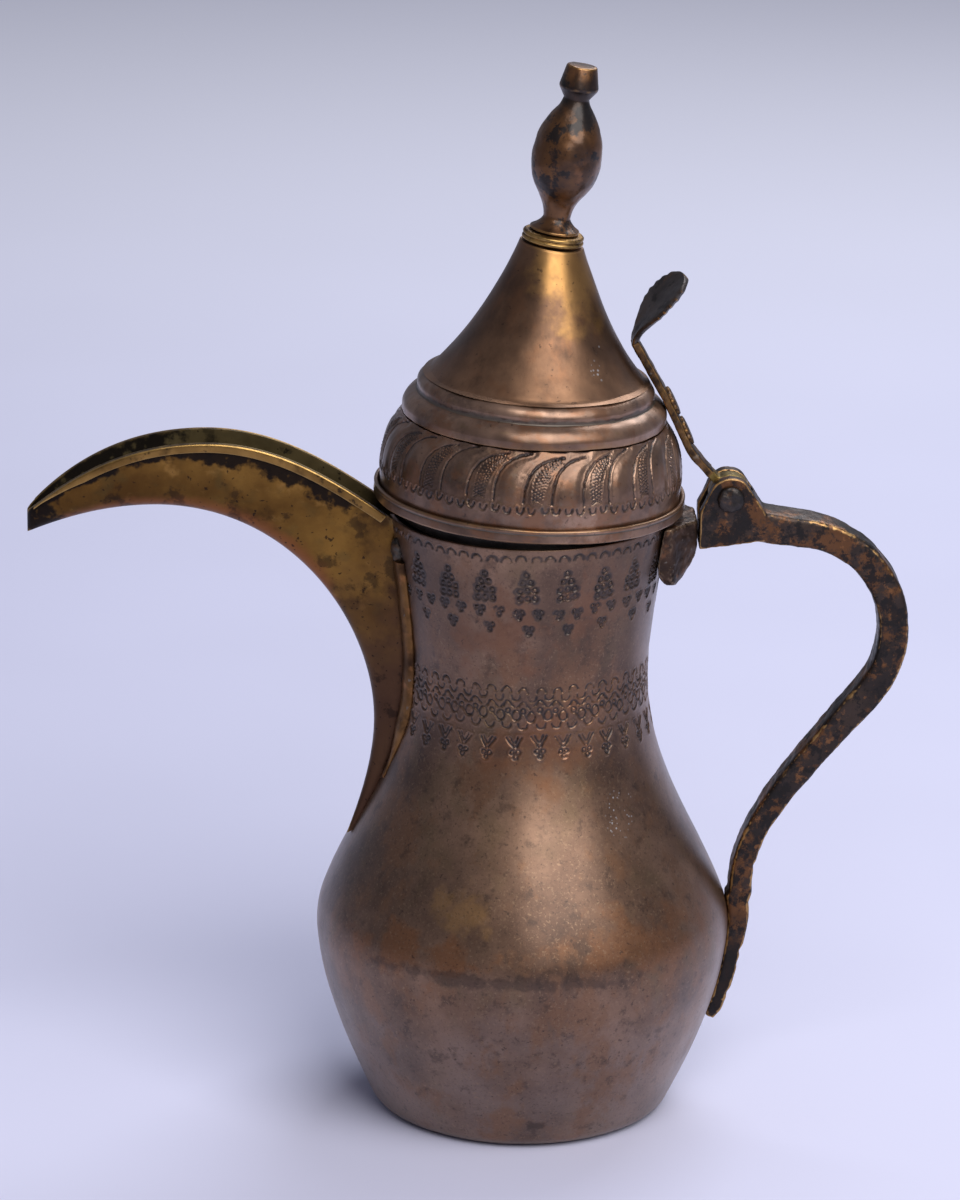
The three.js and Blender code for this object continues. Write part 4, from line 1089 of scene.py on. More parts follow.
BODY_FINISH = Finish(
    "body_patina", Slot.AGED, MID_BROWN, (0.27, 0.156, 0.095), 40.0, 0.88, 0.40,
    (
        Mottle(DARK_BROWN, 26, 0.46, 0.68, 0.5, 0.05, (1, 1, 0.75), 0.0, 9.0, 0.62),
        Mottle(OLIVE_BROWN, 16, 0.50, 0.68, 0.6, 0.03, (1, 1, 0.6), 13.0, 8.0, 0.6),
        # Painted reflection: a pale grey sheen over the lower bowl, reflecting the floor.
        Spot((0, 0, 24), (95, 95, 40), PAINTED_SHEEN_BROWN, 0.6, 0.5, 16, 0.03),
        Mottle((0.19, 0.090, 0.041), 15, 0.49, 0.62, 0.75, 0.0, (1, 1, 0.6), 5.0, 10.0, 0.66),
        Mottle(DARK_BROWN, 5, 0.54, 0.68, 0.5, 0.04, (1, 1, 1), 7.0, 7.0, 0.64),
        Spot((30, -46, 68), (30, 34, 11), RUST, 0.55, 1.5, 9),
        Spot((-34, -46, 64), (24, 30, 8), RUST, 0.75, 1.5, 9),
        Spot((-20, -50, 78), (10, 14, 9), OLD_GOLD, 0.35, 1.2, 8),
        Mottle(SAND, 0.9, 0.54, 0.70, 0.5, 0.0, (1, 1, 1), 15.0, 4.0, 0.66),
        Mottle(DARK_BROWN, 0.8, 0.54, 0.70, 0.5, 0.0, (1, 1, 1), 17.0, 4.0, 0.66),
        # Painted shade: the neck darkened all round, as under the lid's overhang.
        Spot((0, 0, 168), (72, 72, 32), (0.05, 0.023, 0.012), 0.5, 0.7, 16),
        Spot((-10, -36, 158), (15, 12, 17), (0.16, 0.064, 0.026), 0.6, 1.5, 8),
        Spot((14, -34, 168), (8, 10, 12), (0.16, 0.064, 0.026), 0.5, 1.5, 6),
        Spot((4, -42, 124), (20, 14, 13), (0.20, 0.080, 0.030), 0.6, 1.5, 8),
        Spot((-12, -60, 59.4), (58, 40, 2.6), DARK_BROWN, 0.55, 1.5, 5),
        Spot((2, -48, 9), (4, 9, 2.5), DARK_BROWN, 0.7, 1.0, 3),
        Mottle(DARK_BROWN, 1.6, 0.66, 0.74, 0.6, 0.04, (1, 1, 1), 11.0, 2.0),
        Specks(CHALK, 1.2, 0.32, 0.40, (26, -31, 102), (5, 16, 9), 0.85),
        *CHASED,
        Grain(1.2, 0.014, gloss=0.14),
        Grain(0.35, 0.007, seed=6.0),
    ),
    0.6,
    0.34,
)

LID_FINISH = Finish(
    "lid_patina", Slot.AGED, MID_BROWN, (0.36, 0.222, 0.148), 30.0, 0.88, 0.36,
    (
        Mottle(DARK_BROWN, 16, 0.48, 0.66, 0.62, 0.06, detail=9.0, rough=0.66),
        Mottle(WARM_BROWN, 9, 0.49, 0.62, 0.7, 0.0, (1, 1, 1), 5.0, 9.0, 0.66),
        Mottle(OLIVE_BROWN, 3, 0.56, 0.68, 0.45, 0.05, (1, 1, 1), 13.0, 6.0, 0.64),
        Kept("edge", OLD_GOLD, 0.35, 1.0, 0.25, 4.0, 0.5, -0.06),
        Kept("edge", DARK_BROWN, -0.06, -0.4, 0.9, 4.0, 0.5, 0.1),
        Kept("edge", DUST, -0.1, -0.5, 0.5, 2.5, 1.6, 0.2),
        Mottle(DARK_BROWN, 1.5, 0.66, 0.74, 0.6, 0.04, (1, 1, 1), 11.0, 2.0),
        *CHASED,
        Grain(1.0, 0.014, gloss=0.14),
    ),
    0.6,
    0.34,
)

CONE_FINISH = Finish(
    "cone_patina", Slot.AGED, (0.092, 0.046, 0.024), (0.28, 0.150, 0.080), 30.0, 0.9, 0.36,
    (
        Mottle(DARK_BROWN, 14, 0.50, 0.74, 0.65, 0.06, (1, 1, 0.45), 0.0, 9.0, 0.62),
        Mottle(WARM_BROWN, 9, 0.50, 0.70, 0.5, -0.02, (1, 1, 0.5), 5.0, 8.0, 0.6),
        # Painted highlight: a golden glow on the cone's upper front right, facing the key light.
        Spot((16, -14, 264), (20, 20, 24), OLD_GOLD, 0.68, 0.8, 8, -0.04),
        Kept("edge", OLD_GOLD, 0.35, 1.0, 0.3, 4.0, 0.5, -0.06),
        Specks(CHALK, 1.5, 0.34, 0.47, (18, -18.5, 235), (4, 9, 6), 0.85),
        Mottle(DARK_BROWN, 1.5, 0.66, 0.74, 0.6, 0.04, (1, 1, 1), 11.0, 2.0),
        Grain(1.0, 0.012, (1, 1, 0.3), 0.14),
    ),
    0.3,
)

SPOUT_FINISH = Finish(
    "spout_brass", Slot.GOLDEN, (0.095, 0.044, 0.011), (0.245, 0.126, 0.028), 24.0, 0.97, 0.36,
    (
        Mottle(DARK_BROWN, 15, 0.50, 0.72, 0.8, 0.08, detail=8.0, rough=0.6),
        Mottle(OLIVE, 8, 0.52, 0.72, 0.4, 0.05, seed=5.0),
        Mottle(OLD_GOLD, 6, 0.58, 0.76, 0.35, -0.04, seed=8.0),
        Kept("low", (0.075, 0.038, 0.024), 0.1, 0.9, 0.9, 9.0, 0.6, 0.06),
        # Partly the copper of the underside, partly a painted highlight along the beak's lower edge.
        Kept("keel", (0.23, 0.082, 0.028), 0.1, 0.65, 0.85, 7.0, 0.8, -0.02),
        Kept("inside", (0.17, 0.135, 0.066), 0.3, 0.7, 0.9, 5.0, 0.4, 0.12),
        Mottle(SOOT, 9, 0.56, 0.64, 0.55, 0.1, seed=9.0, detail=9.0, rough=0.65),
        # Tarnished below the lips and at the tip, and painted shade inside the beak towards the tip.
        Kept("tarnish", SOOT, 0.45, 0.7, 0.95, 5.0, 1.5, 0.15),
        Kept("edge", BRIGHT_GOLD, 0.35, 0.9, 0.5, 3.0, 0.6, -0.08),
        Mottle(SOOT, 1.6, 0.66, 0.72, 0.75, 0.04, (1, 1, 1), 11.0, 2.0),
        Grain(1.0, 0.010, gloss=0.12),
    ),
)

LIP_FINISH = Finish(
    "lip_brass", Slot.GOLDEN, (0.17, 0.092, 0.026), (0.36, 0.205, 0.06), 14.0, 0.95, 0.34,
    (
        Mottle(DARK_BROWN, 8, 0.5, 0.7, 0.7, 0.1, detail=8.0, rough=0.6),
        Mottle(SOOT, 4, 0.58, 0.68, 0.85, 0.1, seed=5.0, detail=8.0, rough=0.6),
        Kept("edge", BRIGHT_GOLD, 0.3, 0.9, 0.5, 3.0, 0.5, -0.08),
        Grain(0.8, 0.012, gloss=0.12),
    ),
)

BEAD_FINISH = Finish(
    "bead_copper", Slot.GOLDEN, (0.075, 0.036, 0.014), (0.21, 0.105, 0.036), 14.0, 0.92, 0.42,
    (
        Mottle(DARK_BROWN, 9, 0.48, 0.68, 0.85, 0.1, detail=8.0, rough=0.6),
        Mottle(COPPER, 4, 0.55, 0.75, 0.5, -0.04, seed=5.0),
        Mottle(SOLDER, 2.2, 0.64, 0.72, 0.6, 0.1, seed=8.0),
        Grain(0.8, 0.015, gloss=0.12),
    ),
)

BLACK_LAYERS = (
    Mottle((0.125, 0.051, 0.017), 10, 0.475, 0.565, 0.9, -0.02, (1, 1, 1), 1.0, 11.0, 0.72),
    Mottle((0.25, 0.105, 0.035), 4, 0.56, 0.64, 0.6, -0.04, (1, 1, 1), 5.0, 9.0, 0.70),
    Mottle(SOOT, 7, 0.49, 0.55, 0.92, 0.06, (1, 1, 1), 8.0, 11.0, 0.74),
    Spot((63, 0, 34), (18, 26, 30), SOOT, 0.92, 0.6, 6, 0.04),
    Kept("edge", (0.46, 0.27, 0.10), 0.55, 0.95, 0.75, 6.0, 1.5, -0.1),
    Kept("edge", SOOT, -0.15, -0.6, 0.8, 3.0, 0.4, 0.1),
    Grain(1.6, 0.05, gloss=0.15),
    Grain(0.5, 0.015, seed=6.0),
)

HANDLE_FINISH = Finish(
    "handle_black", Slot.BLACKENED, (0.016, 0.012, 0.011), (0.045, 0.029, 0.022), 16.0, 0.75, 0.42,
    BLACK_LAYERS,
    0.12,
)

PIN_FINISH = Finish(
    "pin_black", Slot.BLACKENED, (0.012, 0.010, 0.010), (0.040, 0.030, 0.026), 4.0, 0.75, 0.40,
    (
        Mottle((0.13, 0.062, 0.028), 4, 0.56, 0.66, 0.6, -0.02, detail=8.0, rough=0.65),
        Grain(0.8, 0.04, gloss=0.15),
    ),
    0.3,
)

SADDLE_FINISH = Finish(
    "saddle_dark", Slot.GREY, (0.028, 0.016, 0.011), (0.085, 0.046, 0.028), 8.0, 0.8, 0.42,
    (
        Mottle(WARM_BROWN, 7, 0.54, 0.64, 0.6, 0.0, detail=9.0, rough=0.65),
        Mottle(SOOT, 6, 0.54, 0.62, 0.8, 0.05, seed=5.0, detail=9.0, rough=0.65),
        Kept("edge", (0.20, 0.135, 0.085), 0.3, 0.9, 0.6, 4.0, 1.0, -0.05),
        Mottle(SOLDER, 1.6, 0.63, 0.70, 0.55, 0.1, seed=8.0, detail=6.0),
        Grain(0.9, 0.06, gloss=0.2),
    ),
    0.1,
)

STRAP_FINISH = Finish(
    "strap_brass", Slot.GOLDEN, (0.034, 0.021, 0.013), (0.115, 0.062, 0.030), 9.0, 0.85, 0.44,
    (
        Mottle(SOOT, 6, 0.50, 0.60, 0.85, 0.1, detail=9.0, rough=0.65),
        Mottle(SOLDER, 2.4, 0.60, 0.70, 0.5, 0.2, seed=5.0),
        Kept("edge", OLD_GOLD, 0.4, 1.0, 0.35, 2.0, 1.0, -0.06),
        Kept("edge", SOOT, -0.2, -0.7, 0.8, 3.0, 0.4, 0.1),
        Grain(1.0, 0.03, gloss=0.15),
    ),
)

KNUCKLE_FINISH = Finish(
    "knuckle_brass", Slot.GOLDEN, (0.11, 0.082, 0.026), (0.26, 0.18, 0.055), 6.0, 0.9, 0.42,
    (
        Mottle(DARK_BROWN, 4, 0.5, 0.64, 0.85, 0.1, detail=8.0, rough=0.6),
        Grain(1.0, 0.03, gloss=0.15),
    ),
)

TAB_FINISH = Finish(
    "tab_dark", Slot.BLACKENED, (0.032, 0.027, 0.027), (0.085, 0.070, 0.066), 9.0, 0.78, 0.46,
    (
        Mottle((0.12, 0.066, 0.033), 6, 0.55, 0.66, 0.5, -0.02, seed=5.0, detail=8.0, rough=0.6),
        Mottle(SOOT, 4, 0.54, 0.64, 0.85, 0.08, seed=8.0),
        Kept("edge", OLD_GOLD, 0.5, 1.0, 0.75, 3.0, 0.6, -0.1),
        Grain(1.0, 0.03, gloss=0.15),
    ),
    0.2,
)

SOLDER_FINISH = Finish(
    "solder_grey", Slot.GREY, (0.026, 0.022, 0.019), (0.10, 0.088, 0.074), 3.0, 0.7, 0.5,
    (
        Mottle((0.10, 0.055, 0.03), 3, 0.5, 0.64, 0.8, 0.0),
        Mottle(SOOT, 2, 0.54, 0.64, 0.85, 0.05, seed=5.0),
        Grain(0.9, 0.06, gloss=0.2),
    ),
)

FINIAL_FINISH = Finish(
    "finial_brown", Slot.AGED, (0.046, 0.022, 0.011), (0.155, 0.067, 0.021), 12.0, 0.82, 0.36,
    (
        Mottle(SOOT, 8, 0.52, 0.58, 0.92, 0.12, detail=9.0, rough=0.65),
        Mottle(WARM_BROWN, 5, 0.52, 0.70, 0.45, 0.0, seed=5.0),
        Spot((15, 0, 310), (16, 16, 10), SOOT, 0.8, 0.8, 4, 0.02),
        Kept("edge", OLD_GOLD, 0.35, 0.9, 0.45, 2.5, 0.9, -0.08),
        Mottle(SOOT, 1.8, 0.64, 0.72, 0.8, 0.04, (1, 1, 1), 11.0, 2.0),
        Grain(1.2, 0.035, gloss=0.2),
        Grain(0.45, 0.012, seed=6.0),
    ),
    0.4,
    0.26,
)

COLLAR_FINISH = Finish(
    "collar_gold", Slot.GOLDEN, (0.17, 0.096, 0.031), (0.46, 0.27, 0.086), 6.0, 0.92, 0.36,
    (
        Mottle(DARK_BROWN, 6, 0.48, 0.64, 0.85, 0.1, detail=8.0, rough=0.6),
        Mottle(SOOT, 3, 0.58, 0.66, 0.8, 0.1, seed=5.0, detail=8.0, rough=0.65),
        Kept("edge", BRIGHT_GOLD, 0.35, 0.9, 0.5, 2.0, 0.6, -0.08),
        Grain(0.8, 0.012, gloss=0.12),
    ),
)

TIN_FINISH = Finish(
    "tinned_inside", Slot.GREY, (0.022, 0.019, 0.017), (0.070, 0.060, 0.052), 14.0, 0.7, 0.55,
    (
        Mottle(DARK_BROWN, 9, 0.5, 0.72, 0.8, 0.1),
        Grain(1.2, 0.02, gloss=0.15),
    ),
)


# Sub-assemblies


@dataclass
class SubAssembly:
    """A group of pieces that are built and dressed together."""

    pieces: list[bpy.types.Object] = field(default_factory=list, init=False)

    def settle(
        self,
        obj: bpy.types.Object,
        body: Body,
        finish: Finish,
        *nodes: str,
        edge: float = 0.0,
        crease: float = 40.0,
        dents: Weathering | None = None,
    ) -> None:
        """Finishes a piece and ties it to the frame.

        Args:
            obj: The piece.
            body: The body that it rides on.
            finish: Its finish.
            nodes: The CAD nodes that it stands for.
            edge: The edge radius that wear is measured by, or 0 for no wear.
            crease: The angle from which an edge is drawn sharp, in degrees.
            dents: Dents that are still to be laid, if any.
        """
        material = MATERIALS.get(finish)
        if dents is not None:
            dents.add(obj, material)
            baked(obj)
        obj.data.materials.clear()
        obj.data.materials.append(material)
        obj.data.set_sharp_from_angle(angle=math.radians(crease))
        if edge > 0:
            measure_edges(obj, edge)
        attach(obj, body.value)
        if nodes:
            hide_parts(*nodes)
        self.pieces.append(obj)


class Materials:
    """Builds each finish once."""

    def __init__(self) -> None:
        """Starts with none."""
        self.made: dict[str, bpy.types.Material] = {}

    def get(self, finish: Finish) -> bpy.types.Material:
        """The material of a finish."""
        if finish.name not in self.made:
            self.made[finish.name] = finish.build()
        return self.made[finish.name]


MATERIALS = Materials()


@dataclass
class PotBody(SubAssembly):
    """Bowl, shoulder, waist and neck, raised from sheet and joined without an open seam."""

    foot_radius: float = 44.2
    foot_corner: float = 4.4
    foot_lift: float = 0.2
    full_radius: float = 62.0
    full_height: float = 38.0
    seam_radius: float = 62.3
    seam_height: float = 60.0
    waist_radius: float = 35.9
    waist_height: float = 137.0
    rim_radius: float = 41.6
    rim_height: float = 185.5
    wall: float = 1.4
    waist_start: float = 112.0
    neck_start: float = 147.0
    waist_marks: tuple[float, float] = (117.5, 144.0)
    coarse: float = 0.8
    fine: float = 0.3
    fine_columns: int = 800
    plain_columns: int = 288
    slot_width: float = 11.0
    slot_floor: float = 149.5
    outline: Points = field(init=False)

    def __post_init__(self) -> None:
        """Draws the outer outline from the foot to the rim."""
        foot = (self.foot_radius + 0.4 * self.foot_corner, self.foot_lift + self.foot_corner)
        seam = (self.seam_radius, self.seam_height)
        waist = (self.waist_radius, self.waist_height)
        start = (self.foot_radius - self.foot_corner, self.foot_lift)
        corner = bezier(start, (self.foot_radius, self.foot_lift), foot, steps=14)
        bowl = bezier(foot, (self.full_radius, self.full_height), seam, steps=140)
        shoulder = bezier(seam, (56.5, 82.0), (self.waist_radius, 105.0), waist, steps=220)
        neck = bezier(waist, (37.0, 155.0), (self.rim_radius, self.rim_height), steps=120)
        line = joined(corner, bowl, shoulder, neck)
        self.outline = eased(eased(line, seam, 4.5), waist, 8.0)

    def radius(self, height: np.ndarray) -> np.ndarray:
        """The outer radius at a height."""
        return np.interp(height, self.outline[:, 1], self.outline[:, 0])

    def run(self, low: float, high: float, spacing: float) -> Points:
        """The outer outline between two heights, in even steps."""
        height = np.linspace(low, high, max(2, round((high - low) / spacing) + 1))
        return np.stack([self.radius(height), height], axis=-1)

    def shell(self, outer: Points, columns: int, roll: float = 0.0) -> Shape:
        """A closed wall behind a stretch of the outline.

        Args:
            outer: The outline of its outside, going up.
            columns: How many columns go round.
            roll: The radius that its outside is rolled out at, or 0 for none.

        Returns:
            The wall.
        """
        inner = self.run(outer[0, 1], min(outer[-1, 1], self.rim_height - 0.6), 4.0)[::-1] - [self.wall, 0]
        shape = revolved(np.concatenate([outer, inner]), columns)
        slope = np.gradient(self.outline, axis=0)
        heights = np.concatenate([outer[:, 1], inner[:, 1]])
        ways = np.stack([np.interp(heights, self.outline[:, 1], way) for way in (slope[:, 1], -slope[:, 0])])
        out, up = np.repeat(ways, columns, axis=1)
        radial = shape.points[:, :2] / np.linalg.norm(shape.points[:, :2], axis=1, keepdims=True)
        shape.outward = np.concatenate([radial * out[:, None], up[:, None]], axis=1)
        if roll:
            turn = np.tile(np.linspace(-math.pi, math.pi, columns, endpoint=False), len(outer) + len(inner))
            level = np.repeat(np.concatenate([outer[:, 1], np.full(len(inner), FAR_AWAY)]), columns)
            shape.unrolled = np.stack([turn * roll, level, np.zeros_like(level)], axis=-1)
        return shape

    def build_plain(self) -> None:
        """Builds the bowl and the shoulder."""
        corner = self.outline[self.outline[:, 1] < self.foot_lift + self.foot_corner]
        bowl = np.concatenate([corner, self.run(self.foot_lift + self.foot_corner, self.seam_height, 0.8)])
        for name, outer, node in (
            ("bowl_skin", bowl, "lower_bowl"),
            ("shoulder_skin", self.run(self.seam_height, self.waist_start, 0.8), "upper_body"),
        ):
            obj = self.shell(outer, self.plain_columns).made(name)
            self.settle(obj, Body.POT, BODY_FINISH, node, dents=Weathering(38, 0.16, 1.0))

    def build_waist(self) -> None:
        """Builds the waist with its band of guilloche and chevrons."""
        roll = 36.2
        low, high = self.waist_marks
        outer = joined(
            self.run(self.waist_start, low, self.coarse),
            self.run(low, high, self.fine),
            self.run(high, self.neck_start, self.coarse),
        )
        obj = self.shell(outer, self.fine_columns, roll).made("waist_skin")
        count = 46
        rows = (
            PunchRow((arch(2.7, 1.5),), count, 141.4, 0.3, soot=0.7, jitter=0.4),
            PunchRow(tuple(guilloche(2 * math.pi * roll / count)), count, 135.6, 0.32, soot=0.7, jitter=0.4),
            PunchRow((arch(2.7, 1.5, -1),), count, 130.2, 0.32, soot=0.7, jitter=0.4),
            PunchRow(tuple(chevron()), 31, 124.6, soot=0.8, jitter=0.5),
        )
        self.finish_band(obj, rows, roll)

    def build_neck(self) -> None:
        """Builds the neck with its pyramids, its rounded rim and the slot behind the spout."""
        roll = 39.3
        rim = rounded([(41.53, 184.9), (41.5, 185.5), (40.3, 185.5), (40.15, 184.9)], 0.5)
        outer = np.concatenate([self.run(self.neck_start, 157.5, 0.8), self.run(157.8, 184.6, self.fine), rim])
        obj = self.shell(outer, self.fine_columns, roll).made("neck_skin")
        opening = np.array([(-60, self.slot_floor), (-30, self.slot_floor), (-30, 200), (-60, 200)])
        slot = extruded(opening, self.slot_width).made("slot")
        combined(obj, slot, "DIFFERENCE")
        baked(obj)
        discard(slot)
        rows = (
            PunchRow((arch(2.8, 1.4),), 60, 182.7, 0.3),
            PunchRow(tuple(pyramid()), 21, 173.6, 0.4, soot=1.9, jitter=0.8),
            PunchRow(tuple(hanging_group()), 21, 163.0, soot=1.5, jitter=0.7, phase=0.1),
        )
        self.finish_band(obj, rows, roll)

    def finish_band(self, obj: bpy.types.Object, rows: Sequence[PunchRow], roll: float) -> None:
        """Presses rows of marks into a band and ties it to the frame."""
        material = MATERIALS.get(BODY_FINISH)
        Weathering(38, 0.16, 1.0).add(obj, material)
        marks = [row.press(obj, roll, seed, material) for seed, row in enumerate(rows)]
        baked(obj)
        discard(*marks)
        self.settle(obj, Body.POT, BODY_FINISH, "upper_body", crease=60)

    def build(self) -> None:
        """Builds every piece of the body."""
        self.build_plain()
        self.build_waist()
        self.build_neck()

    def dress(self) -> None:
        """Gives the flat base its finish."""
        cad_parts["base_disc"].material_slots[0].material = MATERIALS.get(BODY_FINISH)


@dataclass
class Spout(SubAssembly):
    """The open beak: trough, lips, root beads and solder."""

    body: PotBody
    reach: float = 147.4
    width: float = 16.4
    wall: float = 1.2
    crest_reach: float = 95.0
    crest_rise: float = 22.2
    tip_drop: float = 0.3
    tip_depth: float = 6.8
    tip_width: float = 1.8
    throat: tuple[float, float] = (-110.0, 187.0)
    knee: tuple[float, float] = (-45.2, 120.0)
    tail_height: float = 84.0
    tail_proud: float = 0.9
    neck_share: float = 8 / 22
    keel_share: float = 0.47
    squareness: float = 0.82
    lip_height: float = 2.7
    lip_thickness: float = 0.8
    bead_radius: float = 1.9
    bead_spread: float = 2.0
    stations: int = 200

    def edge_line(self) -> Track:
        """The free upper edge, from the rim over the crest to the tip."""
        rim, high = self.body.rim_radius, self.body.rim_height
        crest, tip = high + self.crest_rise, high - self.tip_drop
        rise, fall = self.crest_reach - rim, self.reach - self.crest_reach
        first = bezier(
            (-rim, high), (-rim - 0.35 * rise, high + 0.6 * (crest - high)),
            (-self.crest_reach + 0.36 * rise, crest), (-self.crest_reach, crest), steps=160,
        )
        second = bezier(
            (-self.crest_reach, crest), (-self.crest_reach - 0.42 * fall, crest),
            (-self.reach + 0.26 * fall, tip + 0.6 * (crest - tip)), (-self.reach, tip), steps=160,
        )
        return Track(joined(first, second))

    def keel_line(self) -> Track:
        """The line under the beak, from its tail on the shoulder to the tip."""
        knee, throat = np.array(self.knee), np.array(self.throat)
        tail = np.array([-float(self.body.radius(self.tail_height)) - self.tail_proud, self.tail_height])
        tip = np.array([-self.reach, self.body.rim_height - self.tip_drop - self.tip_depth])
        lift, reach = throat[1] - knee[1], knee[0] - throat[0]
        climb, run = knee - tail, tip - throat
        first = bezier(tail, tail + climb * [0.55, 0.33], (knee[0], tail[1] + 0.67 * climb[1]), knee, steps=120)
        second = bezier(knee, knee + [0, 0.45 * lift], throat + [0.62 * reach, 0], throat, steps=160)
        third = bezier(throat, throat + [0.38 * run[0], 0], throat + run * [0.72, 0.44], tip, steps=120)
        return Track(joined(first, second, third))

    def half_width(self, share: np.ndarray) -> np.ndarray:
        """Half the width along the length: a pointed tail, straight sides and a prow."""
        tail = np.clip(share / 0.36, 0, 1)
        prow = np.clip((share - 0.76) / 0.24, 0, 1)
        full, narrow = self.width / 2, self.tip_width / 2
        tapered = narrow + (full - narrow) * np.sin(tail * math.pi / 2)
        return narrow + (tapered - narrow) * np.sqrt(1 - prow**2.4)

    def frames(self, share: np.ndarray) -> tuple[Points, Points]:
        """The edge and keel points at shares of the length."""
        climb = np.clip(share / self.neck_share, 0, 1)
        free = np.clip((share - self.neck_share) / (1 - self.neck_share), 0, 1)
        height = self.tail_height + 2 + climb * (self.body.rim_height - self.tail_height - 2)
        on_neck = np.stack([self.wall - self.body.radius(height), height], axis=-1)
        edge = np.where((share < self.neck_share)[:, None], on_neck, self.edge_line().at(free))
        onward = self.keel_share + (1 - self.keel_share) * free
        keel = np.where(share < self.neck_share, self.keel_share * climb, onward)
        return edge, self.keel_line().at(keel)

    def rows(self, share: np.ndarray, inset: float, count: int) -> Points:
        """U-shaped rows across the beak, inset by the wall for its inside."""
        edge, keel = self.frames(share)
        half = self.half_width(share)
        depth = np.linalg.norm(keel - edge, axis=1)
        down = (keel - edge) / depth[:, None]
        turn = np.linspace(0, math.pi, count)
        across = -np.sign(np.cos(turn)) * np.abs(np.cos(turn)) ** self.squareness
        drop = np.sin(turn).clip(0, 1) ** self.squareness
        sunk = (depth - np.minimum(inset, 0.6 * depth))[:, None] * drop
        wide = (half - np.minimum(inset, 0.6 * half))[:, None] * across
        return hung(edge, down, sunk, wide)

    def build_trough(self) -> None:
        """Builds the bent sheet, and keeps where its inside is, where it is tarnished, and where its inside is
        painted dark as shade.
        """
        share = np.linspace(0, 1, self.stations + 1)
        count = 41
        outer, inner = self.rows(share, 0, count), self.rows(share, self.wall, count)
        obj = lofted(np.concatenate([outer, inner[:, ::-1]], axis=1)).made("spout_skin")
        inside = np.tile(np.concatenate([np.zeros(count), np.ones(count)]), len(share))
        side = np.abs(np.linspace(-1, 1, count))
        free = np.clip((share - self.neck_share) / 0.1, 0, 1)
        under_lip = np.outer(free, np.clip((side - 0.76) / 0.2, 0, 0.9))
        tip = np.outer(np.clip((share - 0.86) / 0.14, 0, 0.74), np.ones(count))
        tarnish = np.maximum(under_lip, tip)
        # The keel band: copper under the beak, which also stands in as a painted highlight along its lower edge.
        keel = np.outer(np.clip((share - 0.3) / 0.1, 0, 1), np.clip(1 - (side - 0.15) / 0.4, 0, 1))
        low = np.outer(np.clip(1 - (share - 0.16) / 0.26, 0, 1), np.ones(count))
        masks = {"tarnish": tarnish, "keel": keel, "low": low}
        values = {name: np.concatenate([mask, 0 * mask], axis=1).ravel() for name, mask in masks.items()}
        # Inside, the wall is painted darker towards the tip as shade in the narrowing channel; outside, it is
        # tarnished below the lips and at the tip.
        painted_inside_shade = np.outer(np.clip((share - 0.55) / 0.3, 0, 0.8), np.ones(count))
        values["tarnish"] = np.concatenate([tarnish, painted_inside_shade], axis=1).ravel()
        for name, value in ({"inside": inside} | values).items():
            keep_value(obj.data, name, value)
        self.settle(obj, Body.POT, SPOUT_FINISH, "spout_trough", edge=1.5)

    def build_lip(self, side: int, label: str) -> None:
        """Builds the stiffening strip along one free edge."""
        share = np.linspace(self.neck_share + 0.004, 0.985, self.stations)
        edge, keel = self.frames(share)
        down = (keel - edge) / np.linalg.norm(keel - edge, axis=1, keepdims=True)
        half = self.half_width(share)
        height = self.lip_height * np.clip((1 - share) / 0.12, 0.25, 1)
        ring = section(np.full(len(share), self.lip_thickness / 2 + 0.15), height / 2, 16, 4.0)
        drop = height[:, None] / 2 - ring[..., 1]
        points = hung(edge, down, drop, side * (half[:, None] + 0.45 + ring[..., 0]))
        obj = lofted(points).made(f"lip_{label}")
        self.settle(obj, Body.POT, LIP_FINISH, f"spout_lip_{label}", edge=0.8)

    def build_bead(self, side: int, label: str) -> None:
        """Builds the half-round bead over the joint between the beak and the neck."""
        height = np.linspace(104.0, 173.0, 120)
        share = (height - self.tail_height) / (self.body.rim_height - self.tail_height) * self.neck_share
        across = self.half_width(share) + 0.4 + 0.9 * self.bead_radius * np.sqrt(self.bead_spread)
        bearing = np.arcsin(across / self.body.radius(height))
        centre = self.body.radius(height) * np.cos(bearing)
        size = self.bead_radius * np.clip((height - 103.5) / 18, 0.25, 1)
        turn = around(24)
        out, along = np.outer(size, np.cos(turn)), np.outer(self.bead_spread * size, np.sin(turn))
        cosine, sine = np.cos(bearing)[:, None], np.sin(bearing)[:, None]
        points = np.empty((len(height), 24, 3))
        points[..., 0] = -centre[:, None] - out * cosine + along * sine
        points[..., 1] = side * (across[:, None] + out * sine + along * cosine)
        points[..., 2] = height[:, None]
        obj = lofted(points).made(f"bead_{label}")
        self.settle(obj, Body.POT, BEAD_FINISH, f"spout_root_bead_{label}", edge=2.0, dents=Weathering(5, 0.16))

    def build_solder(self, side: int, label: str) -> None:
        """Builds the lump of solder at the top of a root bead."""
        height = self.body.rim_height - 9.5
        across = side * (self.width / 2 + 2.1)
        centre = np.array([-math.sqrt(float(self.body.radius(height)) ** 2 - across**2), across, height])
        turn = np.linspace(0, math.pi, 20)
        lump = revolved(np.stack([np.sin(turn), -np.cos(turn)], axis=-1), 32, ring=False)
        obj = lump.moved(lambda points: points * [2.1, 2.5, 4.2] + centre).made(f"solder_{label}")
        dents = Weathering(2.2, 0.35)
        self.settle(obj, Body.POT, SOLDER_FINISH, f"spout_corner_solder_{label}", edge=1.5, dents=dents)

    def build(self) -> None:
        """Builds every piece of the spout."""
        self.build_trough()
        for side, label in ((-1, "near"), (1, "far")):
            self.build_lip(side, label)
            self.build_bead(side, label)
            self.build_solder(side, label)


@dataclass
class Hinge:
    """Where the lid's pin is, and the sizes that the pieces round it share."""

    x: float = 58.9
    z: float = 190.4
    pin_radius: float = 2.2
    head_radius: float = 4.1
    head_height: float = 1.7
    knuckle_radius: float = 6.3
    knuckle_width: float = 5.0
    fork_width: float = 14.0
    gap: float = 0.3


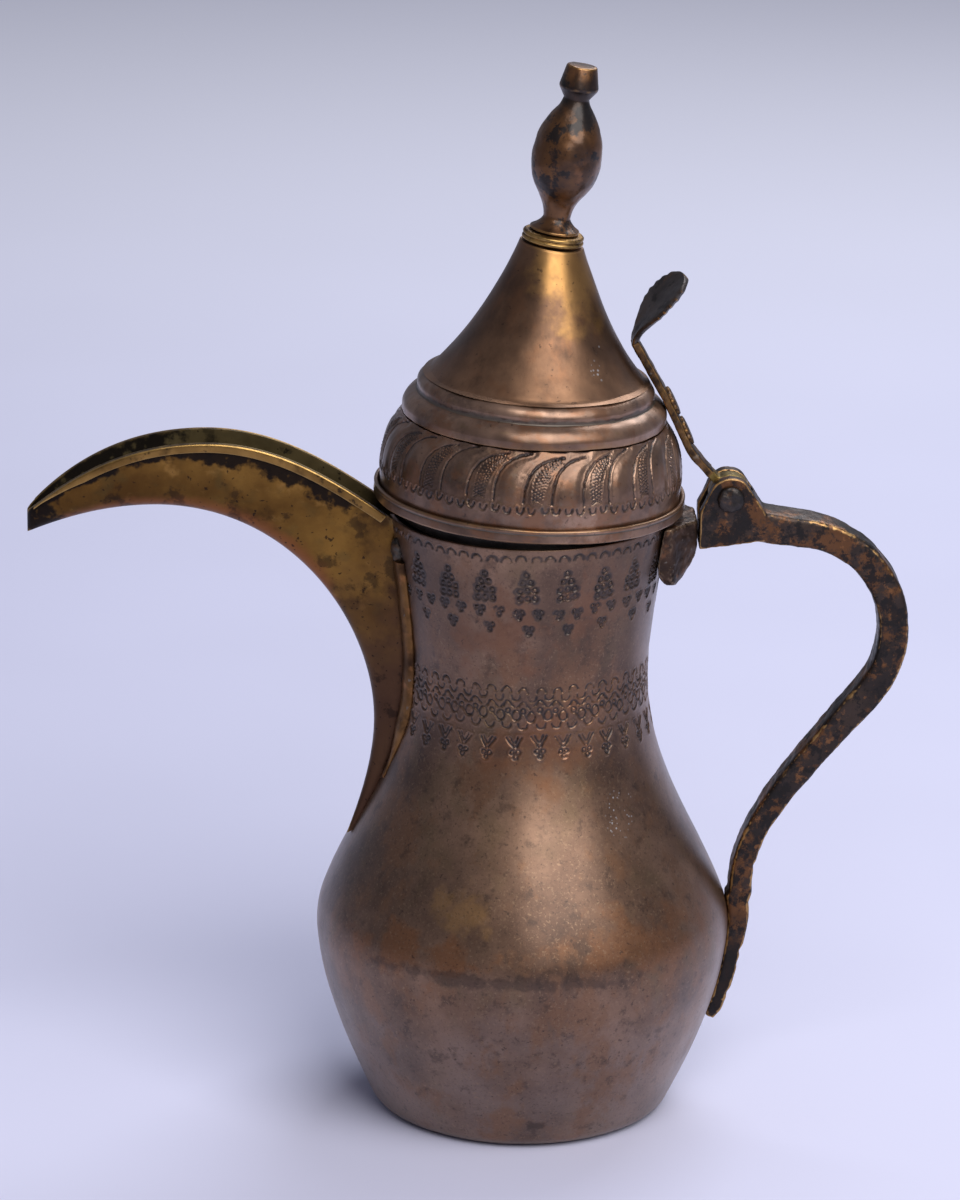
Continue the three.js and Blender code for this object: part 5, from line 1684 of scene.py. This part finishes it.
@dataclass
class Handle(SubAssembly):
    """The S-shaped casting with its fork, the saddle behind it and the riveted pin."""

    body: PotBody
    hinge: Hinge
    reach: float = 113.4
    bow_radius: float = 31.2
    bow_drop: float = 41.9
    thickness: float = 9.4
    thickness_lower: float = 7.4
    thickness_tail: float = 5.0
    width: float = 10.0
    width_lower: float = 8.8
    bar_drop: float = 8.4
    fork_drop: float = 15.6
    fork_length: float = 10.5
    cheek_radius: float = 6.6
    saddle_face: float = 49.5
    tail_height: float = 25.0
    leaf_top: float = 175.0
    leaf_drop: float = 9.2
    leaf_middle: float = 42.5
    voxel: float = 0.42

    def line(self) -> Track:
        """Centre line in (x, z): out of the fork, round the bow, down the S and along the bowl."""
        centre = np.array([self.reach - self.thickness / 2 - self.bow_radius, self.hinge.z - self.bow_drop])
        turn = np.radians(np.linspace(86, -40, 120))
        bow = centre + self.bow_radius * unit(turn)
        heading = np.array([math.sin(turn[-1]), -math.cos(turn[-1])])
        height = np.array([self.body.seam_height, 47.75, 35.5, self.tail_height])
        tail = np.stack([self.body.radius(height) + self.thickness_tail / 2, height], axis=-1)
        landing = tail[0] + [0.8, 5.0]
        drop = bow[-1, 1] - landing[1]
        pulled = bow[-1] + heading * 0.72 * drop
        swing = bezier(bow[-1], pulled, landing + [0.4, 0.3 * drop], landing, steps=120)
        start = np.array([[self.hinge.x + self.hinge.knuckle_radius, self.hinge.z - self.bar_drop]])
        low = np.linspace(landing[1], self.tail_height, 40)[1:]
        proud = self.thickness_tail / 2 + 0.8 * np.clip((low - 55) / 10, 0, 1)
        rest = np.stack([self.body.radius(low) + proud, low], axis=-1)
        return Track(np.concatenate([start, bow, swing[1:], rest]))

    def bar(self) -> Shape:
        """The bar along the line, thick and wide at the bow, thinning to a flat tail."""
        share = np.linspace(0, 1, 320)
        line = self.line()
        centre, ahead = line.at(share), line.heading(share)
        out = np.stack([-ahead[:, 1], ahead[:, 0]], axis=-1)
        thick = stops(
            [
                (0, self.thickness + 1), (0.12, self.thickness), (0.42, self.thickness),
                (0.66, self.thickness_lower), (0.8, self.thickness_lower), (0.88, self.thickness_tail + 1),
                (0.985, self.thickness_tail), (1, 0.6 * self.thickness_tail),
            ],
            share,
        )
        wide = stops(
            [
                (0, self.hinge.fork_width), (0.04, self.hinge.fork_width - 0.6), (0.16, self.width),
                (0.45, self.width), (0.8, self.width_lower), (0.96, self.width_lower), (1, 0.6 * self.width_lower),
            ],
            share,
        )
        return swept(centre, out, section(wide / 2, thick / 2, 28, 6.0))

    def fork_outline(self) -> Points:
        """Side outline of the fork: round cheeks, a foot against the saddle and a root in the bar."""
        front, root = self.saddle_face + self.hinge.gap, self.hinge.x + self.fork_length
        turn = np.radians(np.linspace(43, 160, 40))
        cheek = [self.hinge.x, self.hinge.z] + self.cheek_radius * unit(turn)
        return np.concatenate([
            [(front, self.hinge.z - self.fork_drop), (root, self.hinge.z - self.bar_drop - self.thickness / 2)],
            [(root, self.hinge.z - self.bar_drop + 0.45 * self.thickness)], cheek, [(front, self.hinge.z - 4)],
        ])

    def across_pin(self, radius: float, length: float, name: str) -> bpy.types.Object:
        """A round bar across the fork, used to bore the pin's hole."""
        outline = np.array([(0, -length / 2), (radius, -length / 2), (radius, length / 2), (0, length / 2)])
        centre = np.array([self.hinge.x, 0, self.hinge.z])
        bar = revolved(outline, 48, ring=False)
        return bar.moved(lambda points: points[:, [0, 2, 1]] * [1, 1, -1] + centre).made(name)

    def nicked(self, points: Points) -> Points:
        """The casting with the file nicks on the outer edge of its tail."""
        line = self.line()
        for share, depth in ((0.745, 0.5), (0.885, 0.6), (0.905, 0.5), (0.955, 0.5)):
            here = line.at(np.array([share]))[0]
            away = np.hypot(points[:, 0] - here[0], points[:, 2] - here[1])
            outer = points[:, 0] > here[0]
            push = depth * np.exp(-((points[:, 2] - here[1]) / 1.1) ** 2) * (outer & (away < 9))
            points = points - np.stack([push, 0 * push, 0 * push], axis=-1)
        return points

    def build_casting(self) -> None:
        """Builds the casting: bar, fork, slot and pin hole melted into one skin."""
        hinge = self.hinge
        room = hinge.knuckle_radius + 2 * hinge.gap
        low, high = (hinge.x - 3 * room, hinge.z - room), (hinge.x + room, hinge.z + 3 * room)
        obj = self.bar().moved(self.nicked).made("handle_skin")
        fork = extruded(self.fork_outline(), hinge.fork_width).made("fork")
        opening = np.array([low, (high[0], low[1]), high, (low[0], high[1])])
        slot = extruded(opening, hinge.knuckle_width + 2 * hinge.gap).made("slot")
        hole = self.across_pin(hinge.pin_radius + hinge.gap, 2 * hinge.fork_width, "hole")
        combined(obj, fork, "UNION")
        combined(obj, slot, "DIFFERENCE")
        combined(obj, hole, "DIFFERENCE")
        cast(obj, self.voxel, 5)
        Weathering(7, 0.16, 1.0).add(obj, MATERIALS.get(HANDLE_FINISH))
        Weathering(1.8, 0.06, 1.0, 3.0).add(obj, MATERIALS.get(HANDLE_FINISH))
        baked(obj)
        discard(fork, slot, hole)
        self.settle(obj, Body.POT, HANDLE_FINISH, "handle_casting", edge=1.6, crease=80)

    def build_saddle(self) -> None:
        """Builds the saddle from its CAD solid, melted and made granular."""
        obj = linked("saddle_skin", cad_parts["handle_saddle"].data.copy())
        weld = obj.modifiers.new("weld", "WELD")
        weld.merge_threshold = 0.01 * MM
        cast(obj, 0.4, 40)
        Weathering(2.4, 0.16, 0.6).add(obj, MATERIALS.get(SADDLE_FINISH))
        baked(obj)
        points = points_of(obj)
        low = np.clip((self.leaf_top - points[:, 2]) / self.leaf_drop, 0, 1)
        points[:, 0] = self.leaf_middle + (points[:, 0] - self.leaf_middle) * np.sqrt(1 - 0.85 * low**2)
        place_points(obj, points)
        self.settle(obj, Body.POT, SADDLE_FINISH, "handle_saddle", edge=1.6, crease=80)

    def build_pin(self) -> None:
        """Builds the pin with a hammered dome at each end."""
        hinge = self.hinge
        face = hinge.fork_width / 2 + 0.1
        top = face + hinge.head_height
        dome = bezier((hinge.head_radius, face + 0.3), (0.95 * hinge.head_radius, top), (0, top), steps=20)
        head = np.concatenate([[(hinge.pin_radius, face), (hinge.head_radius, face)], dome])
        outline = np.concatenate([head[::-1] * [1, -1], head])
        centre = np.array([hinge.x, 0, hinge.z])
        pin = revolved(outline, 64, ring=False).moved(lambda points: points[:, [0, 2, 1]] * [1, 1, -1] + centre)
        obj = pin.made("pin_skin")
        self.settle(obj, Body.POT, PIN_FINISH, "hinge_pin", edge=1.0, crease=60, dents=Weathering(2.6, 0.2, 1.0))

    def build(self) -> None:
        """Builds every piece of the handle."""
        self.build_casting()
        self.build_saddle()
        self.build_pin()


@dataclass
class LidFrame:
    """Carries points from the lid's own frame, where it would close, to where it stands."""

    hinge: Hinge
    lean: float = math.radians(2.6)
    seat: float = 185.9
    cone_foot: float = 38.1
    cone_top: float = 78.0
    bend: float = math.radians(5.9)
    drift: float = 2.0

    def place(self, points: Points) -> Points:
        """Points of the lid, leaned back on the pin."""
        pin = np.array([self.hinge.x, 0, self.hinge.z])
        return turned_about_y(points + [0, 0, self.seat] - pin, self.lean) + pin

    def bent(self, points: Points) -> Points:
        """Points of the cone, knocked over towards the handle."""
        x, y, z = points.T
        share = (z - self.cone_foot) / (self.cone_top - self.cone_foot)
        turn = self.bend * share
        drift = self.drift * np.sin(np.clip(share, 0, 1) * math.pi / 2)
        return np.stack([drift + x * np.cos(turn), y, z - x * np.sin(turn)], axis=-1)

    def place_cone(self, points: Points) -> Points:
        """Points of the cone where it stands."""
        return self.place(self.bent(points))

    def place_finial(self, points: Points) -> Points:
        """Points of the finial, whose frame stands on the cone's top."""
        top = self.bent(np.array([[0, 0, self.cone_top]]))[0]
        return self.place(turned_about_y(points, self.bend) + top)


@dataclass
class LidShell(SubAssembly):
    """Band, chased bulge, steps and cone."""

    at: LidFrame
    band_radius: float = 45.95
    band_height: float = 4.3
    foot_radius: float = 44.3
    bulge_radius: float = 44.65
    bulge_height: float = 9.5
    step_radii: tuple[float, float] = (39.0, 35.0)
    step_heights: tuple[float, float] = (26.0, 32.7)
    riser: float = 2.2
    cone_radius: float = 31.6
    cone_top_radius: float = 9.6
    wall: float = 1.2
    columns: int = 1070
    rows: float = 0.29

    def bulge_line(self) -> Track:
        """Outer outline of the bulge, from the band up to the first step."""
        step = (self.step_radii[0], self.step_heights[0])
        foot, fullest = (self.foot_radius, self.band_height), (self.bulge_radius, self.bulge_height)
        below = self.band_height + 0.6 * (self.bulge_height - self.band_height)
        above = self.bulge_height + 0.56 * (step[1] - self.bulge_height)
        lower = bezier(foot, (self.bulge_radius, below), fullest, steps=40)
        upper = bezier(fullest, (self.bulge_radius, above), step, steps=160)
        return Track(joined(lower, upper))

    def build_bulge(self) -> None:
        """Builds the bulge and chases its swirled panels into it."""
        line = self.bulge_line()
        count = round(line.length / self.rows)
        outer = np.concatenate([[(self.foot_radius, 1.7)], line.at(np.linspace(0, 1, count + 1))])
        level = np.concatenate([[-2.6], np.linspace(0, line.length, count + 1)])
        inner = line.at(np.linspace(1, 0, 9)) - [self.wall, 0.4]
        inner = np.concatenate([inner, [(self.foot_radius - self.wall, 1.7)]])
        shape = revolved(np.concatenate([outer, inner]), self.columns, seam=0.0)
        turn = np.tile(np.linspace(-math.pi, math.pi, self.columns, endpoint=False), len(outer) + len(inner))
        levels = np.repeat(np.concatenate([level, np.full(len(inner), FAR_AWAY)]), self.columns)
        shape.unrolled = np.stack([turn * self.bulge_radius, levels, np.zeros_like(levels)], axis=-1)
        obj = shape.moved(self.at.place).made("bulge_skin")
        material = MATERIALS.get(LID_FINISH)
        rows = (
            PunchRow(tuple(swirl_pair()), 16, 7.4, 0.34, 0.46, 0.1, 0.45, 3.4, 0.7, 0.45),
            PunchRow(tuple(hatching()), 16, 7.6, 0.24, 0.28, 0.08, 0.0, 1.0, 0.3, 0.45),
            PunchRow((arch(2.0, 1.7, -1),), 78, 5.4, 0.36, 0.42, 0.1, 0.0, 1.0, 0.9, 0.35),
        )
        Weathering(26, 0.14, 1.0).add(obj, material)
        seeds = (11, 11, 12)
        marks = [row.press(obj, self.bulge_radius, seed, material) for seed, row in zip(seeds, rows)]
        baked(obj)
        discard(*marks)
        self.settle(obj, Body.LID, LID_FINISH, "lid_dome", crease=60)

    def build_steps(self) -> None:
        """Builds the two rounded steps between the bulge and the cone."""
        (first, second), (low, high) = self.step_radii, self.step_heights
        ledge = self.at.cone_foot - 0.1
        bore = self.cone_radius - 3
        bend = (first - 0.4, low + 0.75 * (high - low))
        lower = bezier((first, low + self.riser), bend, (second, high), steps=18)
        start, end = (second, high + 0.8 * self.riser), (self.cone_radius + 0.3, ledge)
        upper = bezier(start, (second - 0.3, ledge - 1.2), end, steps=18)
        foot = [(first - 0.6, low - 0.3), (first, low + 0.1)]
        outer = rounded(np.concatenate([foot, lower, upper, [(bore, ledge)]]), 1.1, 4)
        inner = rounded([(bore, ledge - self.wall), (second - 1.4, high), (first - 1.6, low - 0.3)], 1.0)
        obj = revolved(np.concatenate([outer, inner]), 360, seam=0.0).moved(self.at.place).made("steps_skin")
        self.settle(obj, Body.LID, LID_FINISH, "lid_dome", edge=1.6, crease=60, dents=Weathering(14, 0.22, 1.0))

    def build_band(self) -> None:
        """Builds the flat band round the lid's edge, with its bead at the top."""
        radius, bore = self.band_radius, 38.5
        corners = [
            (bore, 0.0), (radius - 0.5, 0.0), (radius, 0.5), (radius - 0.12, 2.4), (radius - 0.2, 2.9), (radius, 3.3),
            (radius, 3.9), (radius - 0.4, self.band_height), (radius - 1.2, self.band_height), (radius - 1.6, 3.6),
            (radius - 2.2, 1.4), (bore, 1.3),
        ]
        obj = revolved(rounded(corners, 0.45, 4), 360, seam=0.0).moved(self.at.place).made("band_skin")
        self.settle(obj, Body.LID, LID_FINISH, "lid_band", edge=1.0, crease=60, dents=Weathering(16, 0.12, 1.0))

    def build_cone(self) -> None:
        """Builds the knocked-over cone with its foot lip and its top plate."""
        foot, top = self.at.cone_foot, self.at.cone_top
        middle = ((self.cone_radius + self.cone_top_radius) / 2 - 2.5, (foot + top) / 2 - 5)
        slope = bezier((self.cone_radius, foot + 0.3), middle, (self.cone_top_radius, top), steps=110)
        wide, narrow = self.cone_radius, self.cone_top_radius
        lip = bezier((wide + 1.4, foot - 0.45), (wide + 0.3, foot - 0.2), slope[3], steps=8)
        plate = rounded([(narrow, top - 0.3), (narrow - 0.2, top), (2.3, top), (2.3, top - self.wall)], 0.3)
        inside = slope[::-6] - [self.wall + 0.4, 0.2]
        outline = np.concatenate([lip, slope[4:-1], plate, inside[1:]])
        obj = revolved(outline, 300, seam=0.0).moved(self.at.place_cone).made("cone_skin")
        self.settle(obj, Body.LID, CONE_FINISH, "lid_cone", edge=1.2, crease=50, dents=Weathering(24, 0.2, 1.0, 5.0))

    def build(self) -> None:
        """Builds every piece of the lid's shell."""
        self.build_band()
        self.build_bulge()
        self.build_steps()
        self.build_cone()

    def dress(self) -> None:
        """Gives the sleeve under the lid its finish."""
        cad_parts["lid_sleeve"].material_slots[0].material = MATERIALS.get(TIN_FINISH)


@dataclass
class LidStrap(SubAssembly):
    """Knuckle, strap, leaves and thumb tab."""

    at: LidFrame
    thickness: float = 2.6
    width: float = 10.0
    leg_angle: float = math.radians(134)
    leg_start: float = 9.0
    leg_length: float = 18.0
    clear: float = 2.1
    top: tuple[float, float] = (28.0, 49.5)
    leaf_length: float = 9.0
    leaf_width: float = 9.4
    tab_rise: float = 20.0
    tab_lean: float = 13.6
    tab_twist: float = math.radians(12)
    tab_width: float = 20.0
    tab_root: float = 7.0
    tab_thickness: float = 2.2

    def corners(self) -> Points:
        """The strap's centre line, from beside the knuckle up to the thumb tab."""
        pin = np.array([self.at.hinge.x, self.at.hinge.z - self.at.seat])
        leg = np.array([math.cos(self.leg_angle), math.sin(self.leg_angle)])
        return np.array([
            pin + leg * self.leg_start, pin + leg * self.leg_length,
            (39.0 + self.clear, 27.6), (35.0 + self.clear, 35.0), self.top,
        ])

    def build_strap(self) -> None:
        """Builds the flat bar from the knuckle over the lid's steps."""
        track = Track(rounded(self.corners(), 2.5, 8))
        share = np.linspace(0, 1, 120)
        ahead = track.heading(share)
        out = np.stack([ahead[:, 1], -ahead[:, 0]], axis=-1)
        wide = stops([(0, 0.9), (0.15, 1.0), (0.7, 0.92), (1, 0.75)], share) * self.width / 2
        rings = section(wide, np.full(len(share), self.thickness / 2), 24, 6.0)
        obj = swept(track.at(share), out, rings).moved(self.at.place).made("strap_skin")
        self.settle(obj, Body.LID, STRAP_FINISH, "lid_strap", edge=1.0, crease=60, dents=Weathering(6, 0.18, 0.4))

    def build_knuckle(self) -> None:
        """Builds the eye round the pin with its tongue, melted together."""
        hinge = self.at.hinge
        pin = np.array([hinge.x, hinge.z - self.at.seat])
        turn = around(64)
        eye = pin + hinge.knuckle_radius * unit(turn)
        leg = np.array([math.cos(self.leg_angle), math.sin(self.leg_angle)])
        side = np.array([-leg[1], leg[0]]) * self.thickness / 2
        end = pin + leg * (self.leg_start + 0.6)
        tongue = np.array([pin - side, end - side, end + side, pin + side])
        bore = pin + (hinge.pin_radius + hinge.gap) * unit(turn)
        obj = extruded(eye, hinge.knuckle_width).made("knuckle_skin")
        tools = [extruded(tongue, hinge.knuckle_width).made("tongue"), extruded(bore, 20).made("bore")]
        combined(obj, tools[0], "UNION")
        combined(obj, tools[1], "DIFFERENCE")
        cast(obj, 0.28, 4)
        Weathering(2.5, 0.08, 1.0).add(obj, MATERIALS.get(KNUCKLE_FINISH))
        baked(obj)
        discard(*tools)
        place_points(obj, self.at.place(points_of(obj)))
        self.settle(obj, Body.LID, KNUCKLE_FINISH, "hinge_knuckle", edge=1.0, crease=80)

    def build_leaf(self, start: Points, end: Points, label: str) -> None:
        """Builds a lobed leaf that lies on the strap's outer face."""
        run = (end - start) / np.linalg.norm(end - start)
        middle = (start + end) / 2
        out = np.array([run[1], -run[0]])
        turn = around(72)
        swell = 1 - 0.09 * np.cos(6 * turn) ** 2
        edge = swell[:, None] * unit(turn) * [self.leaf_length / 2, self.leaf_width / 2]
        lift = self.thickness / 2
        levels = ((0.0, -0.2), (1.0, -0.2), (1.0, 0.35), (0.95, 0.7), (0.8, 0.85), (0.4, 0.95), (0.0, 1.0))
        skin = []
        for share, height in levels:
            flat = edge * share if share else np.zeros((1, 2))
            x = middle[0] + run[0] * flat[:, 0] + out[0] * (lift + height)
            z = middle[1] + run[1] * flat[:, 0] + out[1] * (lift + height)
            skin.append(np.stack([x, flat[:, 1], z], axis=-1))
        obj = bridged(skin).moved(self.at.place).made(f"leaf_{label}")
        self.settle(obj, Body.LID, STRAP_FINISH, f"strap_leaf_{label}", edge=0.8, crease=60)

    def build_tab(self) -> None:
        """Builds the spoon-shaped thumb tab with its scalloped edge."""
        below, top = self.corners()[-2:]
        run = (top - below) / np.linalg.norm(top - below)
        reach = np.array([self.tab_lean, self.tab_rise])
        line = bezier(top - run, top + 2.5 * run, top + reach * [0.52, 0.64], top + reach, steps=120)
        share = np.linspace(0, 1, 97)
        track = Track(line)
        centre, ahead = track.at(share), track.heading(share)
        out = np.stack([ahead[:, 1], -ahead[:, 0]], axis=-1)
        climb = np.clip(share / 0.6, 0, 1)
        swell = climb**2 * (3 - 2 * climb)
        tip = np.sqrt(1 - (np.clip(share - 0.6, 0, 1) / 0.405) ** 2.2)
        scallop = 1 - 0.06 * np.clip((share - 0.3) / 0.2, 0, 1) * (0.5 + 0.5 * np.cos(share * 60))
        half = (self.tab_root + (self.tab_width - self.tab_root) * swell) / 2 * tip * scallop
        across = np.linspace(-1, 1, 21)
        thick = self.tab_thickness / 2 * np.sqrt(np.clip(1 - np.abs(across) ** 6, 0, 1))
        upper = np.stack([np.outer(half, across), thick - 0.12 * np.outer(half, across**2)], axis=-1)
        lower = np.stack([np.outer(half, across), -thick - 0.12 * np.outer(half, across**2)], axis=-1)
        rings = np.concatenate([upper, lower[:, ::-1]], axis=1)
        turn = np.clip(share / 0.5, 0, 1)
        twist = (self.tab_twist * turn**2 * (3 - 2 * turn))[:, None]
        y, n = rings[..., 0], rings[..., 1]
        cosine, sine = np.cos(twist), np.sin(twist)
        rings = np.stack([y * cosine + n * sine, n * cosine - y * sine], axis=-1)
        obj = swept(centre, out, rings).moved(self.at.place).made("tab_skin")
        weld = obj.modifiers.new("weld", "WELD")
        weld.merge_threshold = 0.005 * MM
        self.settle(obj, Body.LID, TAB_FINISH, "thumb_tab", edge=1.0, crease=60, dents=Weathering(5, 0.12, 0.5))

    def build(self) -> None:
        """Builds every piece of the strap."""
        corners = self.corners()
        self.build_strap()
        self.build_knuckle()
        self.build_leaf(corners[1], corners[2], "lower")
        self.build_leaf(corners[2], corners[3], "upper")
        self.build_tab()


@dataclass
class Finial(SubAssembly):
    """The turned knob on the cone, with its collar."""

    at: LidFrame
    collar_radius: float = 9.05
    collar_height: float = 3.1
    foot_radius: float = 7.4
    lower_neck: float = 4.1
    belly_radius: float = 10.3
    upper_neck: float = 3.9
    head_radius: float = 6.0
    top_radius: float = 4.5
    columns: int = 96

    def build_collar(self) -> None:
        """Builds the collar under the knob."""
        radius, high = self.collar_radius, 0.1 + self.collar_height
        corners = [
            (2.3, 0.1), (radius - 0.6, 0.1), (radius, 0.7), (radius, 1.3), (radius - 0.5, 1.7), (radius - 0.1, 2.1),
            (radius - 0.1, high - 0.5), (radius - 0.7, high), (2.3, high),
        ]
        obj = revolved(rounded(corners, 0.4, 4), self.columns).moved(self.at.place_finial).made("collar_skin")
        self.settle(obj, Body.LID, COLLAR_FINISH, "finial_collar", edge=0.8, crease=60)

    def build_knob(self) -> None:
        """Builds the knob: peened tang, foot, flare, belly, neck and double-coned head."""
        foot = 3.5
        lower = foot + 4.2
        belly = lower + 17.5
        upper = belly + 18.1
        head = upper + 3.1
        top = head + 6.8
        tang = [(0, -4.4), (2, -4.4), (3.3, -3.4), (3.3, -2.9), (2, -2.9), (2, foot), (self.foot_radius, foot)]
        base = rounded([*tang, (self.foot_radius, foot + 0.9), (self.lower_neck + 2.2, foot + 1.6)], 0.35, 3)
        slim, full, thin = self.lower_neck, self.belly_radius, self.upper_neck
        flare = bezier((slim + 2.2, foot + 1.6), (slim + 0.3, lower - 1.2), (slim, lower), steps=10)
        swell = bezier((slim, lower), (slim + 0.4, lower + 7.0), (full, lower + 7.9), (full, belly), steps=36)
        taper = bezier((full, belly), (full, belly + 10.9), (thin + 1, belly + 13.6), (thin, upper), steps=36)
        crown = rounded(
            [(self.upper_neck, upper), (self.head_radius, head), (self.top_radius, top), (0.01, top)], 0.8, 6
        )
        outline = np.concatenate([joined(base, flare, swell, taper, crown)[:-1], [(0, top)]])
        obj = revolved(outline, self.columns, ring=False).moved(self.at.place_finial).made("knob_skin")
        self.settle(obj, Body.LID, FINIAL_FINISH, "finial_knob", edge=1.2, crease=50, dents=Weathering(6, 0.16, 1.0))

    def build(self) -> None:
        """Builds every piece of the finial."""
        self.build_collar()
        self.build_knob()

    def dress(self) -> None:
        """Gives the washer inside the cone its finish."""
        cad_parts["finial_rove"].material_slots[0].material = MATERIALS.get(TIN_FINISH)


# Studio


@dataclass
class Studio:
    """Floor, light and camera."""

    target: Colour = (-14.1, 0.0, 157.2)
    distance: float = 1700.0
    elevation: float = 18.0
    azimuth: float = -2.5
    roll: float = -0.8
    lens: float = 172.38
    ground: Colour = (0.645, 0.66, 0.84)
    far_ground: Colour = (0.87, 0.885, 1.0)
    floor_radius: float = 5000.0

    def build_floor(self) -> None:
        """Lays a wide pale floor, a little lighter far behind the pot."""
        turn = around(96)
        points = self.floor_radius * np.stack([np.cos(turn), np.sin(turn), 0 * turn], axis=-1)
        mesh = bpy.data.meshes.new("floor")
        mesh.from_pydata((points * MM).tolist(), [], [tuple(range(len(turn)))])
        floor = linked("floor", mesh)
        sheet = Sheet("paper")
        cloud = sheet.ramp(sheet.noise(220, 2.0), 0.3, 0.7)
        near = sheet.blend(cloud, self.ground, tuple(0.97 * value for value in self.ground))
        depth = sheet.add("ShaderNodeSeparateXYZ", {0: sheet.place}).outputs[1]
        colour = sheet.blend(sheet.ramp(depth, 0.45, 1.5), near, self.far_ground)
        shader = sheet.add("ShaderNodeBsdfDiffuse", {"Color": colour})
        sheet.add("ShaderNodeOutputMaterial", {"Surface": shader.outputs[0]})
        mesh.materials.append(sheet.material)

    def build_light(self) -> None:
        """Hangs soft boxes over and beside the pot in an even pale room."""
        self.soft_box("key", (420, -900, 1100), (0, 0, 140), 1150, 21.0, (1.0, 0.96, 0.93))
        self.soft_box("back", (450, 800, 1200), (0, 0, 100), 900, 11.5, (0.95, 0.96, 1.0))
        world = bpy.data.worlds.new("room")
        world.use_nodes = True
        bpy.context.scene.world = world
        background = world.node_tree.nodes["Background"]
        background.inputs["Color"].default_value = (0.80, 0.82, 1.0, 1.0)
        background.inputs["Strength"].default_value = 0.24

    def soft_box(self, name: str, place: Colour, aim: Colour, size: float, power: float, colour: Colour) -> None:
        """Hangs one square light."""
        lamp = bpy.data.lights.new(name, "AREA")
        lamp.size = size * MM
        lamp.energy = power
        lamp.color = colour
        obj = linked(name, lamp)
        obj.location = Vector(place) * MM
        obj.rotation_euler = (Vector(aim) - Vector(place)).to_track_quat("-Z", "Y").to_euler()

    def build_camera(self) -> None:
        """Sets the camera where the photograph was taken from."""
        turn, rise, roll = (math.radians(value) for value in (self.azimuth, self.elevation, self.roll))
        back = Vector((math.sin(turn) * math.cos(rise), -math.cos(turn) * math.cos(rise), math.sin(rise)))
        level = Vector((math.cos(turn), math.sin(turn), 0))
        above = back.cross(level)
        right = math.cos(roll) * level - math.sin(roll) * above
        up = math.sin(roll) * level + math.cos(roll) * above
        camera = bpy.data.cameras.new("camera")
        camera.sensor_fit = "VERTICAL"
        camera.sensor_height = 36.0
        camera.lens = self.lens
        camera.clip_end = 20.0
        obj = linked("camera", camera)
        place = (Vector(self.target) + self.distance * back) * MM
        obj.matrix_world = Matrix.Translation(place) @ Matrix((right, up, back)).transposed().to_4x4()
        bpy.context.scene.camera = obj

    def build(self) -> None:
        """Builds the whole studio."""
        self.build_floor()
        self.build_light()
        self.build_camera()
        bpy.context.scene.view_settings.view_transform = "Standard"


def clear_startup() -> None:
    """Removes the objects of Blender's startup scene."""
    for name in ("Cube", "Light", "Camera"):
        obj = bpy.data.objects.get(name)
        if obj is not None:
            bpy.data.objects.remove(obj)


def main() -> None:
    """Builds the pot from the foot up, then the studio."""
    logging.basicConfig(level=logging.INFO, format="%(name)s: %(message)s")
    clear_startup()
    body = PotBody()
    hinge = Hinge()
    at = LidFrame(hinge)
    for group in (body, Spout(body), Handle(body, hinge), LidShell(at), LidStrap(at), Finial(at)):
        group.build()
        if hasattr(group, "dress"):
            group.dress()
        faces = sum(len(piece.data.polygons) for piece in group.pieces)
        LOG.info("%s: %d pieces, %d faces", type(group).__name__, len(group.pieces), faces)
    Studio().build()


if __name__ == "__main__":
    main()
